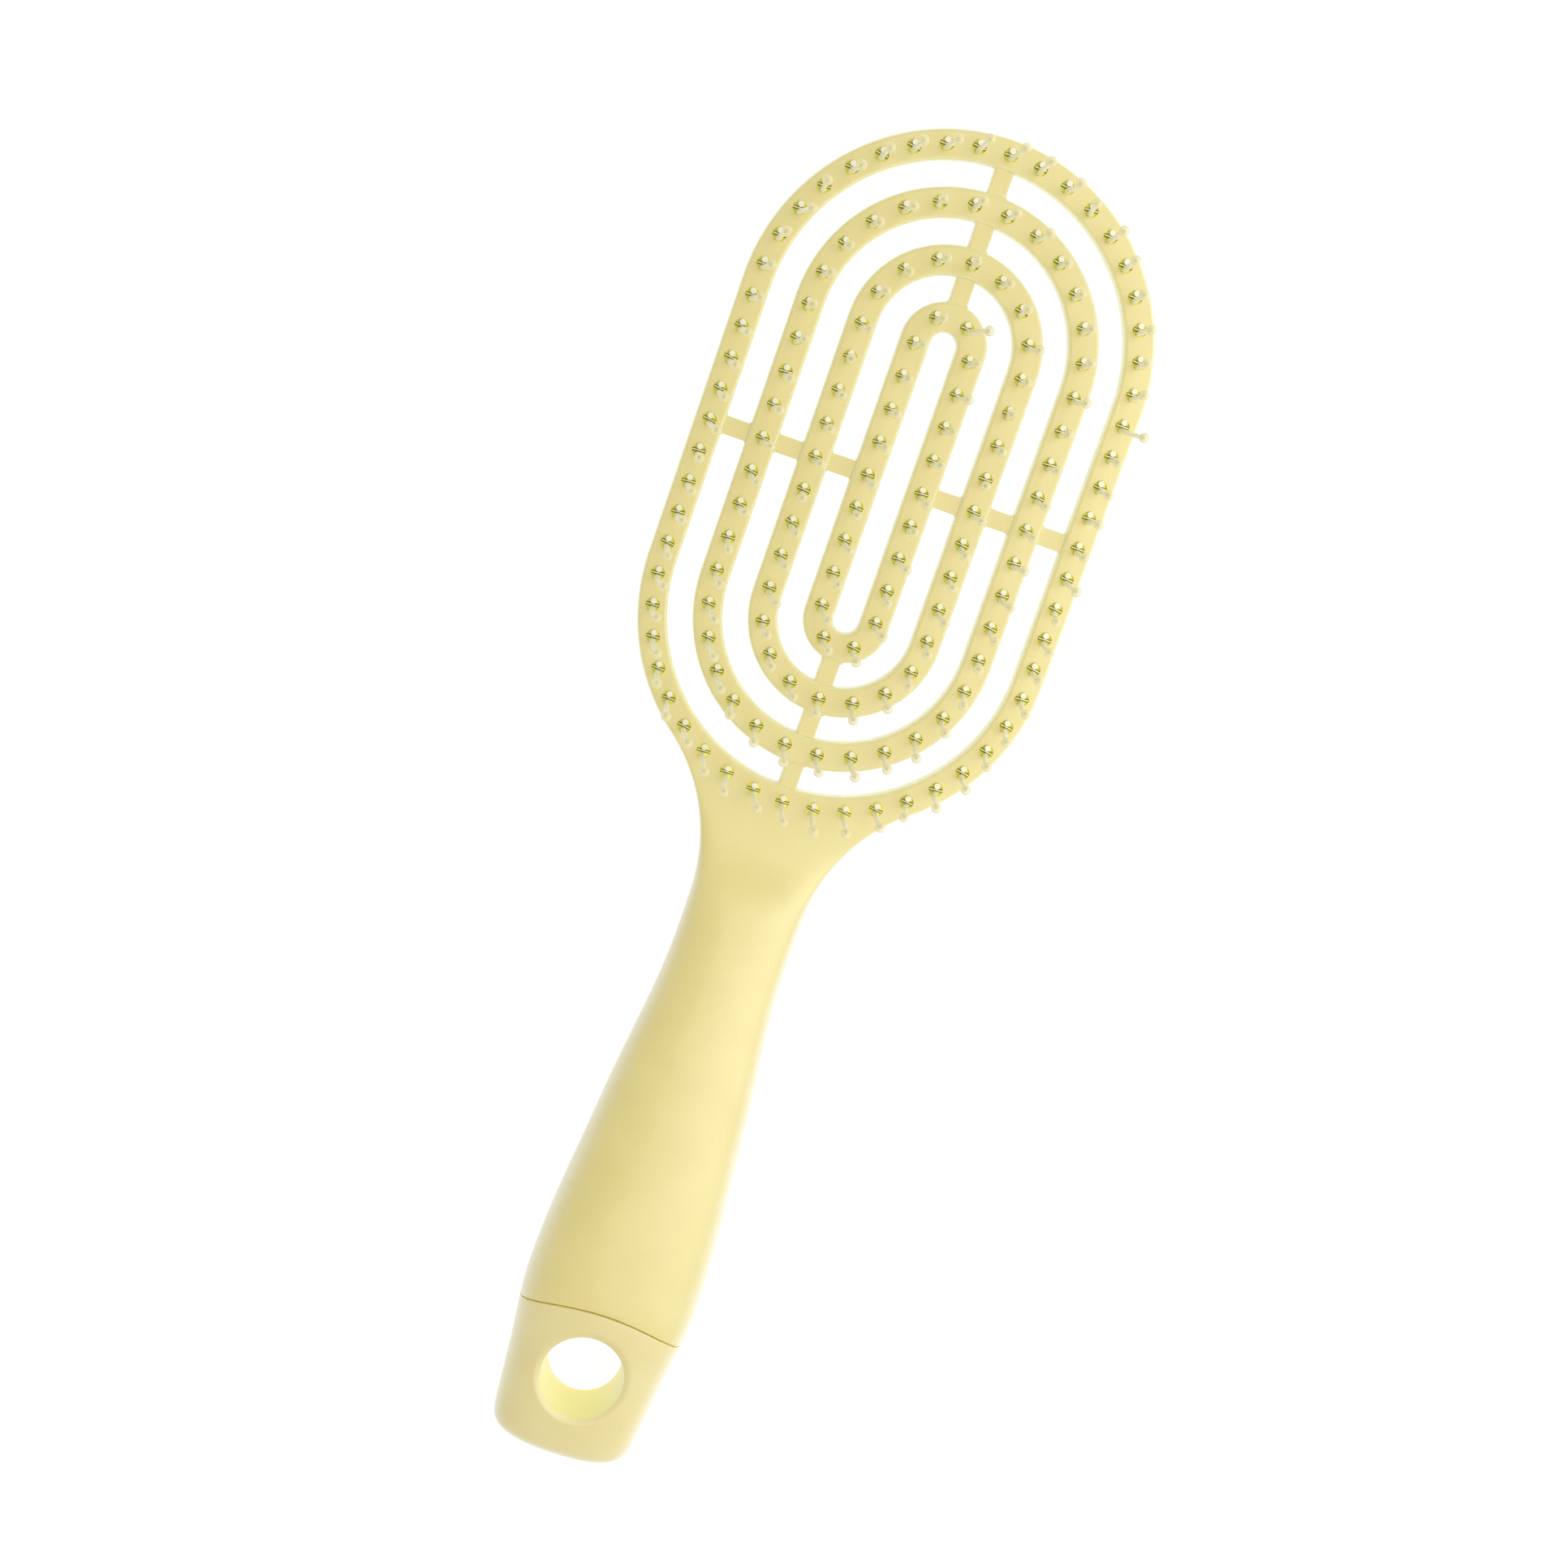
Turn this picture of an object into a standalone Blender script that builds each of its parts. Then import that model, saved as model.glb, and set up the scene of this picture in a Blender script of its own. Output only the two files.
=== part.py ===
"""Vented hair brush with four concentric rings, ball-tipped bristles and an end cap.

Metres, +Z up. The brush lies on its back: the bristles point up and the head's tip is at +Y.
The origin is under the middle of the brush, on the surface that it lies on.
"""
import math

import bmesh
import bpy
from mathutils import Vector

# Head: concentric rings with straight sides and round ends, listed from the inside out
RING_STRAIGHT = 0.0485
INNER_RING_RADIUS = 0.0048
RING_PITCH = 0.00935
RING_WIDTH = 0.0050
RING_THICKNESS = 0.0045
RING_CHAMFER = 0.0006
QUARTER_FACETS = (5, 7, 9, 11)

# Spokes that tie the rings together on the two middle lines
SPOKE_WIDTH = 0.0033
SPOKE_THICKNESS = 0.0026

# Bristle strips set into a groove in each ring: one along each straight side, and one or more
# round each end, with this many tufts in each; the rings go from the inside out
RING_NAMES = ("inner", "third", "second", "outer")
STRIP_WIDTH = 0.0024
STRIP_THICKNESS = 0.0013
SIDE_TUFTS = 9
ARC_TUFTS = ((2,), (2, 3, 2), (3, 3, 3, 3), (4, 4, 3, 4, 4))

# Bristles: a monofilament folded in two, one leg cut short and one ending in a ball
LEG_WIDTH = 0.00095
LEG_SPACING = 0.0013
SHORT_LEG_HEIGHT = 0.0004
BALL_DIAMETER = 0.00185
BALL_CENTRE_HEIGHT = 0.0175
BALL_SIDE_SHARE = 0.85
BALL_CROWN_SHARE = 0.45
OUTER_LEAN_SHARE = 0.07

# Handle: plan
HANDLE_LENGTH = 0.1206
NECK_FILLET = 0.0300
WAIST_HALF_WIDTH = 0.0101
WAIST_FROM_HEAD = 0.0240
SWELL_HALF_WIDTH = 0.0129
SWELL_FROM_HEAD = 0.0550
BELLY_HALF_WIDTH = 0.0152
BELLY_FROM_HEAD = 0.0875
HOLE_HALF_WIDTH = 0.0137
END_HALF_WIDTH = 0.0116
END_ROUNDING = 0.0034
END_CORNER = 0.0036

# Handle: heights over the surface that the brush lies on
WAIST_TOP = 0.0106
BELLY_TOP = 0.0150
HOLE_TOP = 0.0138
END_TOP = 0.0120
NECK_STEP = 0.0002
WAIST_LIFT = 0.0007
END_LIFT = 0.0009
END_EDGE = 0.0026

# Handle: sections are superellipses, squarer where the neck runs into the head
NECK_SQUARENESS = 6.0
GRIP_SQUARENESS = 2.35
SECTION_POINTS = 28
NECK_STATIONS = 9
GRIP_STATIONS = 22
CROWN_STATIONS = 5

# End cap: an arched parting line, a plug inside the handle and a hanging hole
CAP_LENGTH = 0.0300
PARTING_ARCH = 0.0034
ARCH_FACETS = 15
HANDLE_WALL = 0.0024
CAVITY_END_FROM_HEAD = 0.0330
PLUG_LENGTH = 0.0100
PLUG_ROOT = 0.0020
PLUG_STATIONS = 4
CAVITY_STATIONS = 11
HANG_HOLE_RADIUS = 0.0074
HANG_HOLE_FROM_END = 0.0171
HANG_HOLE_CHAMFER = 0.0010
HOLE_FACETS = 32

# Shared clearance, the overrun of every cut, and the angle past which an edge stays sharp
CLEARANCE = 0.0003
OVERRUN = 0.0020
SHARP_ANGLE = math.radians(32)

# Finishes
FRAME_COLOUR = (0.87, 0.75, 0.35, 1.0)
CAP_COLOUR = (0.86, 0.74, 0.34, 1.0)
BRISTLE_COLOUR = (0.86, 0.83, 0.70, 1.0)
FRAME_ROUGHNESS = 0.45
CAP_ROUGHNESS = 0.42
BRISTLE_ROUGHNESS = 0.30

# Places that follow from the sizes above
RING_COUNT = len(ARC_TUFTS)
OUTER_RING_RADIUS = INNER_RING_RADIUS + RING_PITCH * (RING_COUNT - 1)
HEAD_RADIUS = OUTER_RING_RADIUS + RING_WIDTH / 2
HEAD_LENGTH = RING_STRAIGHT + 2 * HEAD_RADIUS
TIP_Y = (HEAD_LENGTH + HANDLE_LENGTH) / 2
TOP_ARC_Y = TIP_Y - HEAD_RADIUS
BOTTOM_ARC_Y = TOP_ARC_Y - RING_STRAIGHT
HEAD_EDGE_Y = BOTTOM_ARC_Y - HEAD_RADIUS
END_Y = HEAD_EDGE_Y - HANDLE_LENGTH
PARTING_Y = END_Y + CAP_LENGTH
GROOVE_WIDTH = STRIP_WIDTH + 2 * CLEARANCE
GROOVE_DEPTH = STRIP_THICKNESS + CLEARANCE
LIP_WIDTH = (RING_WIDTH - GROOVE_WIDTH) / 2
LIP_RADIUS = HEAD_RADIUS - LIP_WIDTH / 2


def clear_scene():
    """Remove whatever the file holds, so that the brush is alone in it."""
    for item in list(bpy.data.objects):
        bpy.data.objects.remove(item, do_unlink=True)


def plastic(name, colour, roughness):
    """A plain moulded plastic."""
    material = bpy.data.materials.new(name)
    material.use_nodes = True
    shader = material.node_tree.nodes["Principled BSDF"]
    shader.inputs["Base Color"].default_value = colour
    shader.inputs["Roughness"].default_value = roughness
    shader.inputs["Metallic"].default_value = 0.0
    material.diffuse_color = colour
    return material


def add_object(name, mesh, material=None):
    """Link a mesh to the scene under its sub-part's name."""
    item = bpy.data.objects.new(name, mesh)
    bpy.context.scene.collection.objects.link(item)
    if material is not None:
        mesh.materials.append(material)
    return item


def finish_mesh(name, shape):
    """Turn a bmesh into a mesh whose faces point out."""
    bmesh.ops.recalc_face_normals(shape, faces=shape.faces)
    mesh = bpy.data.meshes.new(name)
    shape.to_mesh(mesh)
    shape.free()
    return mesh


def add_loft(shape, sections, closed=False):
    """Skin a list of equal-sized point loops; open lofts get a cap at both ends."""
    loops = [[shape.verts.new(point) for point in section] for section in sections]
    pairs = list(zip(loops, loops[1:]))
    if closed:
        pairs.append((loops[-1], loops[0]))
    for near, far in pairs:
        for index, vert in enumerate(near):
            after = (index + 1) % len(near)
            shape.faces.new((vert, near[after], far[after], far[index]))
    if not closed:
        shape.faces.new(reversed(loops[0]))
        shape.faces.new(loops[-1])


def loft_mesh(name, sections, closed=False):
    """A mesh made of one loft."""
    shape = bmesh.new()
    add_loft(shape, sections, closed)
    return finish_mesh(name, shape)


def combine(item, cutter, operation):
    """Join, cut or intersect an object with another, which becomes a hidden guide."""
    step = item.modifiers.new(cutter.name, "BOOLEAN")
    step.operation = operation
    step.object = cutter
    step.solver = "EXACT"
    cutter.hide_render = True
    cutter.display_type = "WIRE"


def settle(item):
    """Make an object's finished shape its own mesh, smooth but for its real edges."""
    item.data = bpy.data.meshes.new_from_object(
        item.evaluated_get(bpy.context.evaluated_depsgraph_get())
    )
    guides = [step.object for step in item.modifiers]
    item.modifiers.clear()
    for guide in guides:
        bpy.data.objects.remove(guide, do_unlink=True)
    item.data.shade_smooth()
    item.data.set_sharp_from_angle(angle=SHARP_ANGLE)
    return item


def smooth_value(stations, place):
    """Read a value from (place, value) stations, joined by a curve that never overshoots."""
    places = [station[0] for station in stations]
    values = [station[1] for station in stations]
    slopes = [
        (values[i + 1] - values[i]) / (places[i + 1] - places[i]) for i in range(len(places) - 1)
    ]
    tangents = [slopes[0]]
    for before, after in zip(slopes, slopes[1:]):
        same_way = before * after > 0
        tangents.append(2 * before * after / (before + after) if same_way else 0.0)
    tangents.append(slopes[-1])
    if place <= places[0]:
        return values[0]
    if place >= places[-1]:
        return values[-1]
    i = max(k for k in range(len(places) - 1) if places[k] <= place)
    span = places[i + 1] - places[i]
    t = (place - places[i]) / span
    return (
        values[i] * (1 + 2 * t) * (1 - t) ** 2
        + values[i + 1] * t * t * (3 - 2 * t)
        + span * tangents[i] * t * (1 - t) ** 2
        - span * tangents[i + 1] * t * t * (1 - t)
    )


def ring_radius(ring):
    """The radius of a ring's centre line at its round ends."""
    return INNER_RING_RADIUS + RING_PITCH * ring


def ring_length(ring):
    """The length of a ring's centre line."""
    return 2 * math.pi * ring_radius(ring) + 2 * RING_STRAIGHT


def strip_tufts(ring):
    """Tufts in each strip of a ring, clockwise from the strip that starts the head's top end."""
    return (ARC_TUFTS[ring] + (SIDE_TUFTS,)) * 2


def ring_place(ring, distance):
    """Point and outward direction at a distance clockwise along a ring from the head's tip."""
    radius = ring_radius(ring)
    quarter = radius * math.pi / 2
    distance = distance % ring_length(ring)
    if distance < quarter:
        turn, centre = distance / radius, TOP_ARC_Y
    elif distance < quarter + RING_STRAIGHT:
        return Vector((radius, TOP_ARC_Y - (distance - quarter), 0)), Vector((1, 0, 0))
    elif distance < 3 * quarter + RING_STRAIGHT:
        turn, centre = (distance - RING_STRAIGHT) / radius, BOTTOM_ARC_Y
    elif distance < 3 * quarter + 2 * RING_STRAIGHT:
        along = distance - 3 * quarter - RING_STRAIGHT
        return Vector((-radius, BOTTOM_ARC_Y + along, 0)), Vector((-1, 0, 0))
    else:
        turn, centre = (distance - 2 * RING_STRAIGHT) / radius, TOP_ARC_Y
    out = Vector((math.sin(turn), math.cos(turn), 0))
    return Vector((0, centre, 0)) + out * radius, out


def ring_stations(ring):
    """Distances along a ring where its outline turns, from the head's tip once around."""
    facets = QUARTER_FACETS[ring]
    quarter = ring_radius(ring) * math.pi / 2
    steps = [quarter * i / facets for i in range(facets + 1)]
    first = steps
    bottom = [quarter + RING_STRAIGHT + step for step in steps]
    bottom += [2 * quarter + RING_STRAIGHT + step for step in steps[1:]]
    last = [3 * quarter + 2 * RING_STRAIGHT + step for step in steps[:-1]]
    return first + bottom + last


def across_ring(ring, distance, outline):
    """Lay an outline of (outward, height) points across a ring at one place."""
    point, out = ring_place(ring, distance)
    return [point + out * offset + Vector((0, 0, height)) for offset, height in outline]


def ring_outline():
    """A chamfered bar with a groove in its top for the bristle strips."""
    half = RING_WIDTH / 2
    groove = GROOVE_WIDTH / 2
    floor = RING_THICKNESS - GROOVE_DEPTH
    right = [
        (half - RING_CHAMFER, 0.0),
        (half, RING_CHAMFER),
        (half, RING_THICKNESS - RING_CHAMFER),
        (half - RING_CHAMFER, RING_THICKNESS),
        (groove, RING_THICKNESS),
        (groove, floor),
    ]
    return right + [(-offset, height) for offset, height in reversed(right)]


def make_ring(ring):
    """One ring of the head."""
    outline = ring_outline()
    sections = [across_ring(ring, place, outline) for place in ring_stations(ring)]
    return add_object(f"ring_{ring}_guide", loft_mesh("ring", sections, closed=True))


def box_mesh(name, low, high):
    """A box between two corners."""
    corners = [(low[0], low[1]), (high[0], low[1]), (high[0], high[1]), (low[0], high[1])]
    sections = [[(x, y, z) for x, y in corners] for z in (low[2], high[2])]
    return loft_mesh(name, sections)


def make_spokes():
    """Four rows of short bars between the rings, buried in both rings that they join."""
    half = SPOKE_WIDTH / 2
    bury = RING_WIDTH / 4
    middle_y = (TOP_ARC_Y + BOTTOM_ARC_Y) / 2
    bars = []
    for ring in range(RING_COUNT - 1):
        near = ring_radius(ring) + RING_WIDTH / 2 - bury
        far = ring_radius(ring + 1) - RING_WIDTH / 2 + bury
        bars.append(((-half, TOP_ARC_Y + near), (half, TOP_ARC_Y + far)))
        bars.append(((-half, BOTTOM_ARC_Y - far), (half, BOTTOM_ARC_Y - near)))
        bars.append(((near, middle_y - half), (far, middle_y + half)))
        bars.append(((-far, middle_y - half), (-near, middle_y + half)))
    guides = []
    for index, (low, high) in enumerate(bars):
        mesh = box_mesh("spoke", (*low, 0.0), (*high, SPOKE_THICKNESS))
        guides.append(add_object(f"spoke_{index}_guide", mesh))
    return guides


def fillet_centre():
    """Centre of the neck fillet, which touches the waist's side and the middle of the outer lip."""
    centre_x = WAIST_HALF_WIDTH + NECK_FILLET
    drop = math.sqrt((LIP_RADIUS + NECK_FILLET) ** 2 - centre_x**2)
    return centre_x, BOTTOM_ARC_Y - drop


def neck_end():
    """The place along the brush where the neck fillet touches the outer ring's lip."""
    share = LIP_RADIUS / (LIP_RADIUS + NECK_FILLET)
    return BOTTOM_ARC_Y + (fillet_centre()[1] - BOTTOM_ARC_Y) * share


def end_rounding(y):
    """From 1 at the handle's very end to 0 where its rounded edge runs out."""
    inward = min(max((y - END_Y) / END_ROUNDING, 0.0), 1.0)
    return 1 - math.sqrt(1 - (1 - inward) ** 2)


def half_width(y):
    """Half of the handle's width in plan."""
    fillet_x, fillet_y = fillet_centre()
    if y >= fillet_y:
        return fillet_x - math.sqrt(NECK_FILLET**2 - (y - fillet_y) ** 2)
    stations = [
        (END_Y, END_HALF_WIDTH),
        (END_Y + HANG_HOLE_FROM_END, HOLE_HALF_WIDTH),
        (HEAD_EDGE_Y - BELLY_FROM_HEAD, BELLY_HALF_WIDTH),
        (HEAD_EDGE_Y - SWELL_FROM_HEAD, SWELL_HALF_WIDTH),
        (HEAD_EDGE_Y - WAIST_FROM_HEAD, WAIST_HALF_WIDTH),
        (fillet_y, WAIST_HALF_WIDTH),
    ]
    return smooth_value(stations, y) - END_CORNER * end_rounding(y)


def top_height(y):
    """Height of the handle's top."""
    stations = [
        (END_Y, END_TOP),
        (END_Y + HANG_HOLE_FROM_END, HOLE_TOP),
        (HEAD_EDGE_Y - BELLY_FROM_HEAD, BELLY_TOP),
        (HEAD_EDGE_Y - WAIST_FROM_HEAD, WAIST_TOP),
        (HEAD_EDGE_Y, RING_THICKNESS - NECK_STEP),
        (BOTTOM_ARC_Y, RING_THICKNESS - NECK_STEP),
    ]
    return smooth_value(stations, y) - END_EDGE * end_rounding(y)


def underside_height(y):
    """Height of the handle's back, which touches the ground at the belly."""
    stations = [
        (END_Y, END_LIFT),
        (HEAD_EDGE_Y - BELLY_FROM_HEAD, 0.0),
        (HEAD_EDGE_Y - WAIST_FROM_HEAD, WAIST_LIFT),
        (HEAD_EDGE_Y, NECK_STEP),
        (BOTTOM_ARC_Y, NECK_STEP),
    ]
    return smooth_value(stations, y) + END_EDGE * end_rounding(y)


def squareness(y):
    """Power of the superellipse: the neck is squarer than the grip."""
    stations = [(HEAD_EDGE_Y - WAIST_FROM_HEAD, GRIP_SQUARENESS), (HEAD_EDGE_Y, NECK_SQUARENESS)]
    return smooth_value(stations, y)


def handle_section(y, inset=0.0):
    """Points of the handle's section at one place, drawn in from the skin by an inset."""
    half = half_width(y) - inset
    low = underside_height(y) + inset
    high = top_height(y) - inset
    power = 2 / squareness(y)
    points = []
    for index in range(SECTION_POINTS):
        turn = 2 * math.pi * index / SECTION_POINTS
        across = math.copysign(abs(math.cos(turn)) ** power, math.cos(turn))
        up = math.copysign(abs(math.sin(turn)) ** power, math.sin(turn))
        points.append((half * across, y, (low + high) / 2 + (high - low) / 2 * up))
    return points


def spread(start, end, count):
    """Evenly spaced places from start to end, both included."""
    return [start + (end - start) * i / (count - 1) for i in range(count)]


def handle_loft(name):
    """The whole handle as one solid, from inside the head's outer ring to its very end."""
    waist = HEAD_EDGE_Y - WAIST_FROM_HEAD
    rounding = END_Y + END_ROUNDING
    places = spread(neck_end(), waist, NECK_STATIONS)
    places += spread(waist, rounding, GRIP_STATIONS)[1:]
    turns = spread(0.0, math.pi / 2, CROWN_STATIONS)[1:]
    places += [rounding - END_ROUNDING * math.sin(turn) for turn in turns]
    return add_object(name, loft_mesh("handle", [handle_section(y) for y in places]))


def arch_points(shift):
    """The parting line in plan, arched towards the head and moved along the handle by a shift."""
    reach = BELLY_HALF_WIDTH
    radius = (reach**2 + PARTING_ARCH**2) / (2 * PARTING_ARCH)
    limit = math.asin((reach + OVERRUN) / radius)
    points = []
    for turn in spread(-limit, limit, ARCH_FACETS + 1):
        y = PARTING_Y + shift - radius * (1 - math.cos(turn))
        points.append((radius * math.sin(turn), y))
    return points


def parting_block(name, shift):
    """A block that covers the handle from its end to the parting line."""
    arch = arch_points(shift)
    far = END_Y - OVERRUN
    outline = arch + [(arch[-1][0], far), (arch[0][0], far)]
    heights = (-OVERRUN, BELLY_TOP + OVERRUN)
    return add_object(name, loft_mesh("block", [[(x, y, z) for x, y in outline] for z in heights]))


def head_disc():
    """A disc that clears the neck from the inside of the head's outer ring."""
    radius = HEAD_RADIUS - LIP_WIDTH * 2 / 3
    facets = 4 * QUARTER_FACETS[-1]
    centre = BOTTOM_ARC_Y
    outline = []
    for index in range(facets):
        turn = 2 * math.pi * index / facets
        outline.append((radius * math.sin(turn), centre + radius * math.cos(turn)))
    heights = (-OVERRUN, RING_THICKNESS + OVERRUN)
    sections = [[(x, y, z) for x, y in outline] for z in heights]
    return add_object("head_disc_guide", loft_mesh("disc", sections))


def plug_section(y, inset):
    """Section of the cavity or of the plug, both drawn in from the handle's skin."""
    return handle_section(y, HANDLE_WALL + inset)


def make_cavity():
    """The handle's hollow, open at the parting line."""
    end = HEAD_EDGE_Y - CAVITY_END_FROM_HEAD
    start = PARTING_Y - PARTING_ARCH - OVERRUN
    sections = [plug_section(y, 0.0) for y in spread(start, end, CAVITY_STATIONS)]
    return add_object("cavity_guide", loft_mesh("cavity", sections))


def make_frame(material):
    """Rings, spokes, neck and handle in one moulding."""
    frame = handle_loft("brush_frame")
    frame.data.materials.append(material)
    combine(frame, parting_block("handle_end_guide", 0.0), "DIFFERENCE")
    combine(frame, head_disc(), "DIFFERENCE")
    combine(frame, make_cavity(), "DIFFERENCE")
    for ring in reversed(range(RING_COUNT)):
        combine(frame, make_ring(ring), "UNION")
    for spoke in make_spokes():
        combine(frame, spoke, "UNION")
    return settle(frame)


def hang_hole():
    """Cutter for the hanging hole, flared where it leaves the cap's two faces."""
    centre_y = END_Y + HANG_HOLE_FROM_END
    radius = HANG_HOLE_RADIUS
    flared = radius + HANG_HOLE_CHAMFER + OVERRUN
    low = underside_height(centre_y)
    high = top_height(centre_y)
    levels = [
        (low - OVERRUN, flared),
        (low + HANG_HOLE_CHAMFER, radius),
        (high - HANG_HOLE_CHAMFER, radius),
        (high + OVERRUN, flared),
    ]
    sections = []
    for height, reach in levels:
        turns = [2 * math.pi * i / HOLE_FACETS for i in range(HOLE_FACETS)]
        sections.append(
            [(reach * math.cos(t), centre_y + reach * math.sin(t), height) for t in turns]
        )
    return add_object("hang_hole_guide", loft_mesh("hang_hole", sections))


def make_plug():
    """The cap's plug, which fills the mouth of the handle's hollow with a small clearance."""
    places = spread(PARTING_Y - PARTING_ARCH - PLUG_ROOT, PARTING_Y + PLUG_LENGTH, PLUG_STATIONS)
    sections = [plug_section(y, CLEARANCE) for y in places]
    return add_object("plug_guide", loft_mesh("plug", sections))


def make_end_cap(material):
    """The end cap: the handle's last stretch, its plug and the hanging hole."""
    cap = handle_loft("end_cap")
    cap.data.materials.append(material)
    combine(cap, parting_block("cap_guide", -CLEARANCE), "INTERSECT")
    combine(cap, make_plug(), "UNION")
    combine(cap, hang_hole(), "DIFFERENCE")
    return settle(cap)


def square_loop(centre, half_side):
    """Four corners of a square that lies flat."""
    x, y, z = centre
    signs = ((1, 1), (-1, 1), (-1, -1), (1, -1))
    return [(x + half_side * a, y + half_side * b, z) for a, b in signs]


def triangle_loop(centre, half_side):
    """Three corners of a triangle that lies flat with its base towards the long leg."""
    x, y, z = centre
    return [(x, y + half_side, z), (x - half_side, y - half_side, z), (x + half_side, y - half_side, z)]


def add_long_leg(shape, root):
    """The long leg, which leans in towards the middle line and ends in a ball."""
    half = LEG_WIDTH / 2
    ball = BALL_DIAMETER / 2
    lean = -root.x / OUTER_RING_RADIUS * OUTER_LEAN_SHARE

    def level(height, reach):
        rise = height - RING_THICKNESS
        centre = (root.x + lean * rise, root.y, height)
        return square_loop(centre, reach)

    middle = RING_THICKNESS + BALL_CENTRE_HEIGHT
    sections = [
        level(RING_THICKNESS - STRIP_THICKNESS / 2, half),
        level(middle - ball, half),
        level(middle, ball * BALL_SIDE_SHARE),
        level(middle + ball, ball * BALL_CROWN_SHARE),
    ]
    add_loft(shape, sections)


def add_short_leg(shape, root):
    """The short leg, cut off just over the strip."""
    low = RING_THICKNESS - STRIP_THICKNESS / 2
    high = RING_THICKNESS + SHORT_LEG_HEIGHT
    sections = [triangle_loop((root.x, root.y, height), LEG_WIDTH / 2) for height in (low, high)]
    add_loft(shape, sections)


def strip_stations(ring, start, end):
    """Places along a strip: its two ends and the ring's own turns between them."""
    length = ring_length(ring)
    turns = [place + length * lap for lap in (-1, 0, 1) for place in ring_stations(ring)]
    inside = [place for place in turns if start + CLEARANCE < place < end - CLEARANCE]
    return [start] + inside + [end]


def make_strip(ring, name, edge, count, material):
    """A slice of the ring's face, from an edge on, with the bristles of its tufts fused to it."""
    pitch = ring_length(ring) / sum(strip_tufts(ring))
    start = edge + CLEARANCE / 2
    end = edge + count * pitch - CLEARANCE / 2
    half = STRIP_WIDTH / 2
    floor = RING_THICKNESS - STRIP_THICKNESS
    outline = [(-half, floor), (half, floor), (half, RING_THICKNESS), (-half, RING_THICKNESS)]
    sections = [across_ring(ring, place, outline) for place in strip_stations(ring, start, end)]
    strip = add_object(name, loft_mesh(name, sections), material)
    legs = bmesh.new()
    for tuft in range(count):
        middle, _ = ring_place(ring, edge + (tuft + 1 / 2) * pitch)
        apart = Vector((0, LEG_SPACING / 2, 0))
        add_long_leg(legs, middle - apart)
        add_short_leg(legs, middle + apart)
    combine(strip, add_object(f"{name}_legs_guide", finish_mesh("legs", legs)), "UNION")
    return settle(strip)


def make_strips(material):
    """Every bristle strip of every ring, spread evenly about the head's middle line."""
    for ring in range(RING_COUNT):
        counts = strip_tufts(ring)
        pitch = ring_length(ring) / sum(counts)
        edge = -pitch * sum(ARC_TUFTS[ring]) / 2
        for index, count in enumerate(counts):
            name = f"bristles_{RING_NAMES[ring]}_{index + 1:02d}"
            make_strip(ring, name, edge, count, material)
            edge += count * pitch


def main():
    """Build the brush."""
    clear_scene()
    make_frame(plastic("frame_plastic", FRAME_COLOUR, FRAME_ROUGHNESS))
    make_end_cap(plastic("cap_plastic", CAP_COLOUR, CAP_ROUGHNESS))
    make_strips(plastic("bristle_nylon", BRISTLE_COLOUR, BRISTLE_ROUGHNESS))


main()
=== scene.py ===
"""Looks of the vented hair brush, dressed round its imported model. Metres, +Z up."""
import math
import random

import bmesh
import bpy
from mathutils import Matrix, Vector
from mathutils.geometry import delaunay_2d_cdt
from mathutils.kdtree import KDTree


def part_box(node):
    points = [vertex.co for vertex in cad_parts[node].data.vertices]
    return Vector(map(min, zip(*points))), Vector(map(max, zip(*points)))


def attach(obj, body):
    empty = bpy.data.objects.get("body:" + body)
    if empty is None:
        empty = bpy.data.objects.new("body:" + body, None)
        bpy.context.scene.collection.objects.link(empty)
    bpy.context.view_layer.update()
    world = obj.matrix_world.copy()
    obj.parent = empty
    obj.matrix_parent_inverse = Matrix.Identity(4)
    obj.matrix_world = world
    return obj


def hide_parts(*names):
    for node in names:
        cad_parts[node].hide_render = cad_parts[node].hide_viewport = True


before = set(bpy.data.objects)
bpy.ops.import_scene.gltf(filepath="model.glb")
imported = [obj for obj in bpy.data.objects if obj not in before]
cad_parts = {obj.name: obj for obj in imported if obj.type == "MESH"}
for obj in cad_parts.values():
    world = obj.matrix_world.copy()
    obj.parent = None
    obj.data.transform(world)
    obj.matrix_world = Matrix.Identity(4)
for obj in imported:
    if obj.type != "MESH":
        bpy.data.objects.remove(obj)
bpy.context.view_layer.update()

MM = 0.001

# Head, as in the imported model: concentric rings with straight sides and round ends
RING_NAMES = ("inner", "third", "second", "outer")
RING_STRAIGHT = 48.5 * MM
INNER_RING_RADIUS = 4.8 * MM
RING_PITCH = 9.35 * MM
RING_WIDTH = 5.0 * MM
RING_THICKNESS = 4.5 * MM
RING_EDGE = 0.50 * MM
RING_BACK_EDGE = 0.45 * MM
RING_BACK_HEIGHT = 1.3 * MM
SPOKE_WIDTH = 3.1 * MM
SPOKE_THICKNESS = 4.0 * MM
SPOKE_FILLET = 0.30 * MM
SPOKE_EDGE = 0.20 * MM
SPOKE_BURY = 1.0 * MM

# Tufts round each ring, and how far the first one stands from the tip, in tuft pitches
RING_TUFTS = (22, 32, 42, 56)
FIRST_TUFT_SHARES = (0.5, 0.0, 0.5, 0.0)
SIDE_TUFTS = 9
ARC_TUFTS = ((2,), (2, 3, 2), (3, 3, 3, 3), (4, 4, 3, 4, 4))
PIT_RADIUS = 1.08 * MM
PIT_FLARE = 0.14 * MM
PIT_DEPTH = 0.32 * MM
PIT_SIDES = 24

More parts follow.
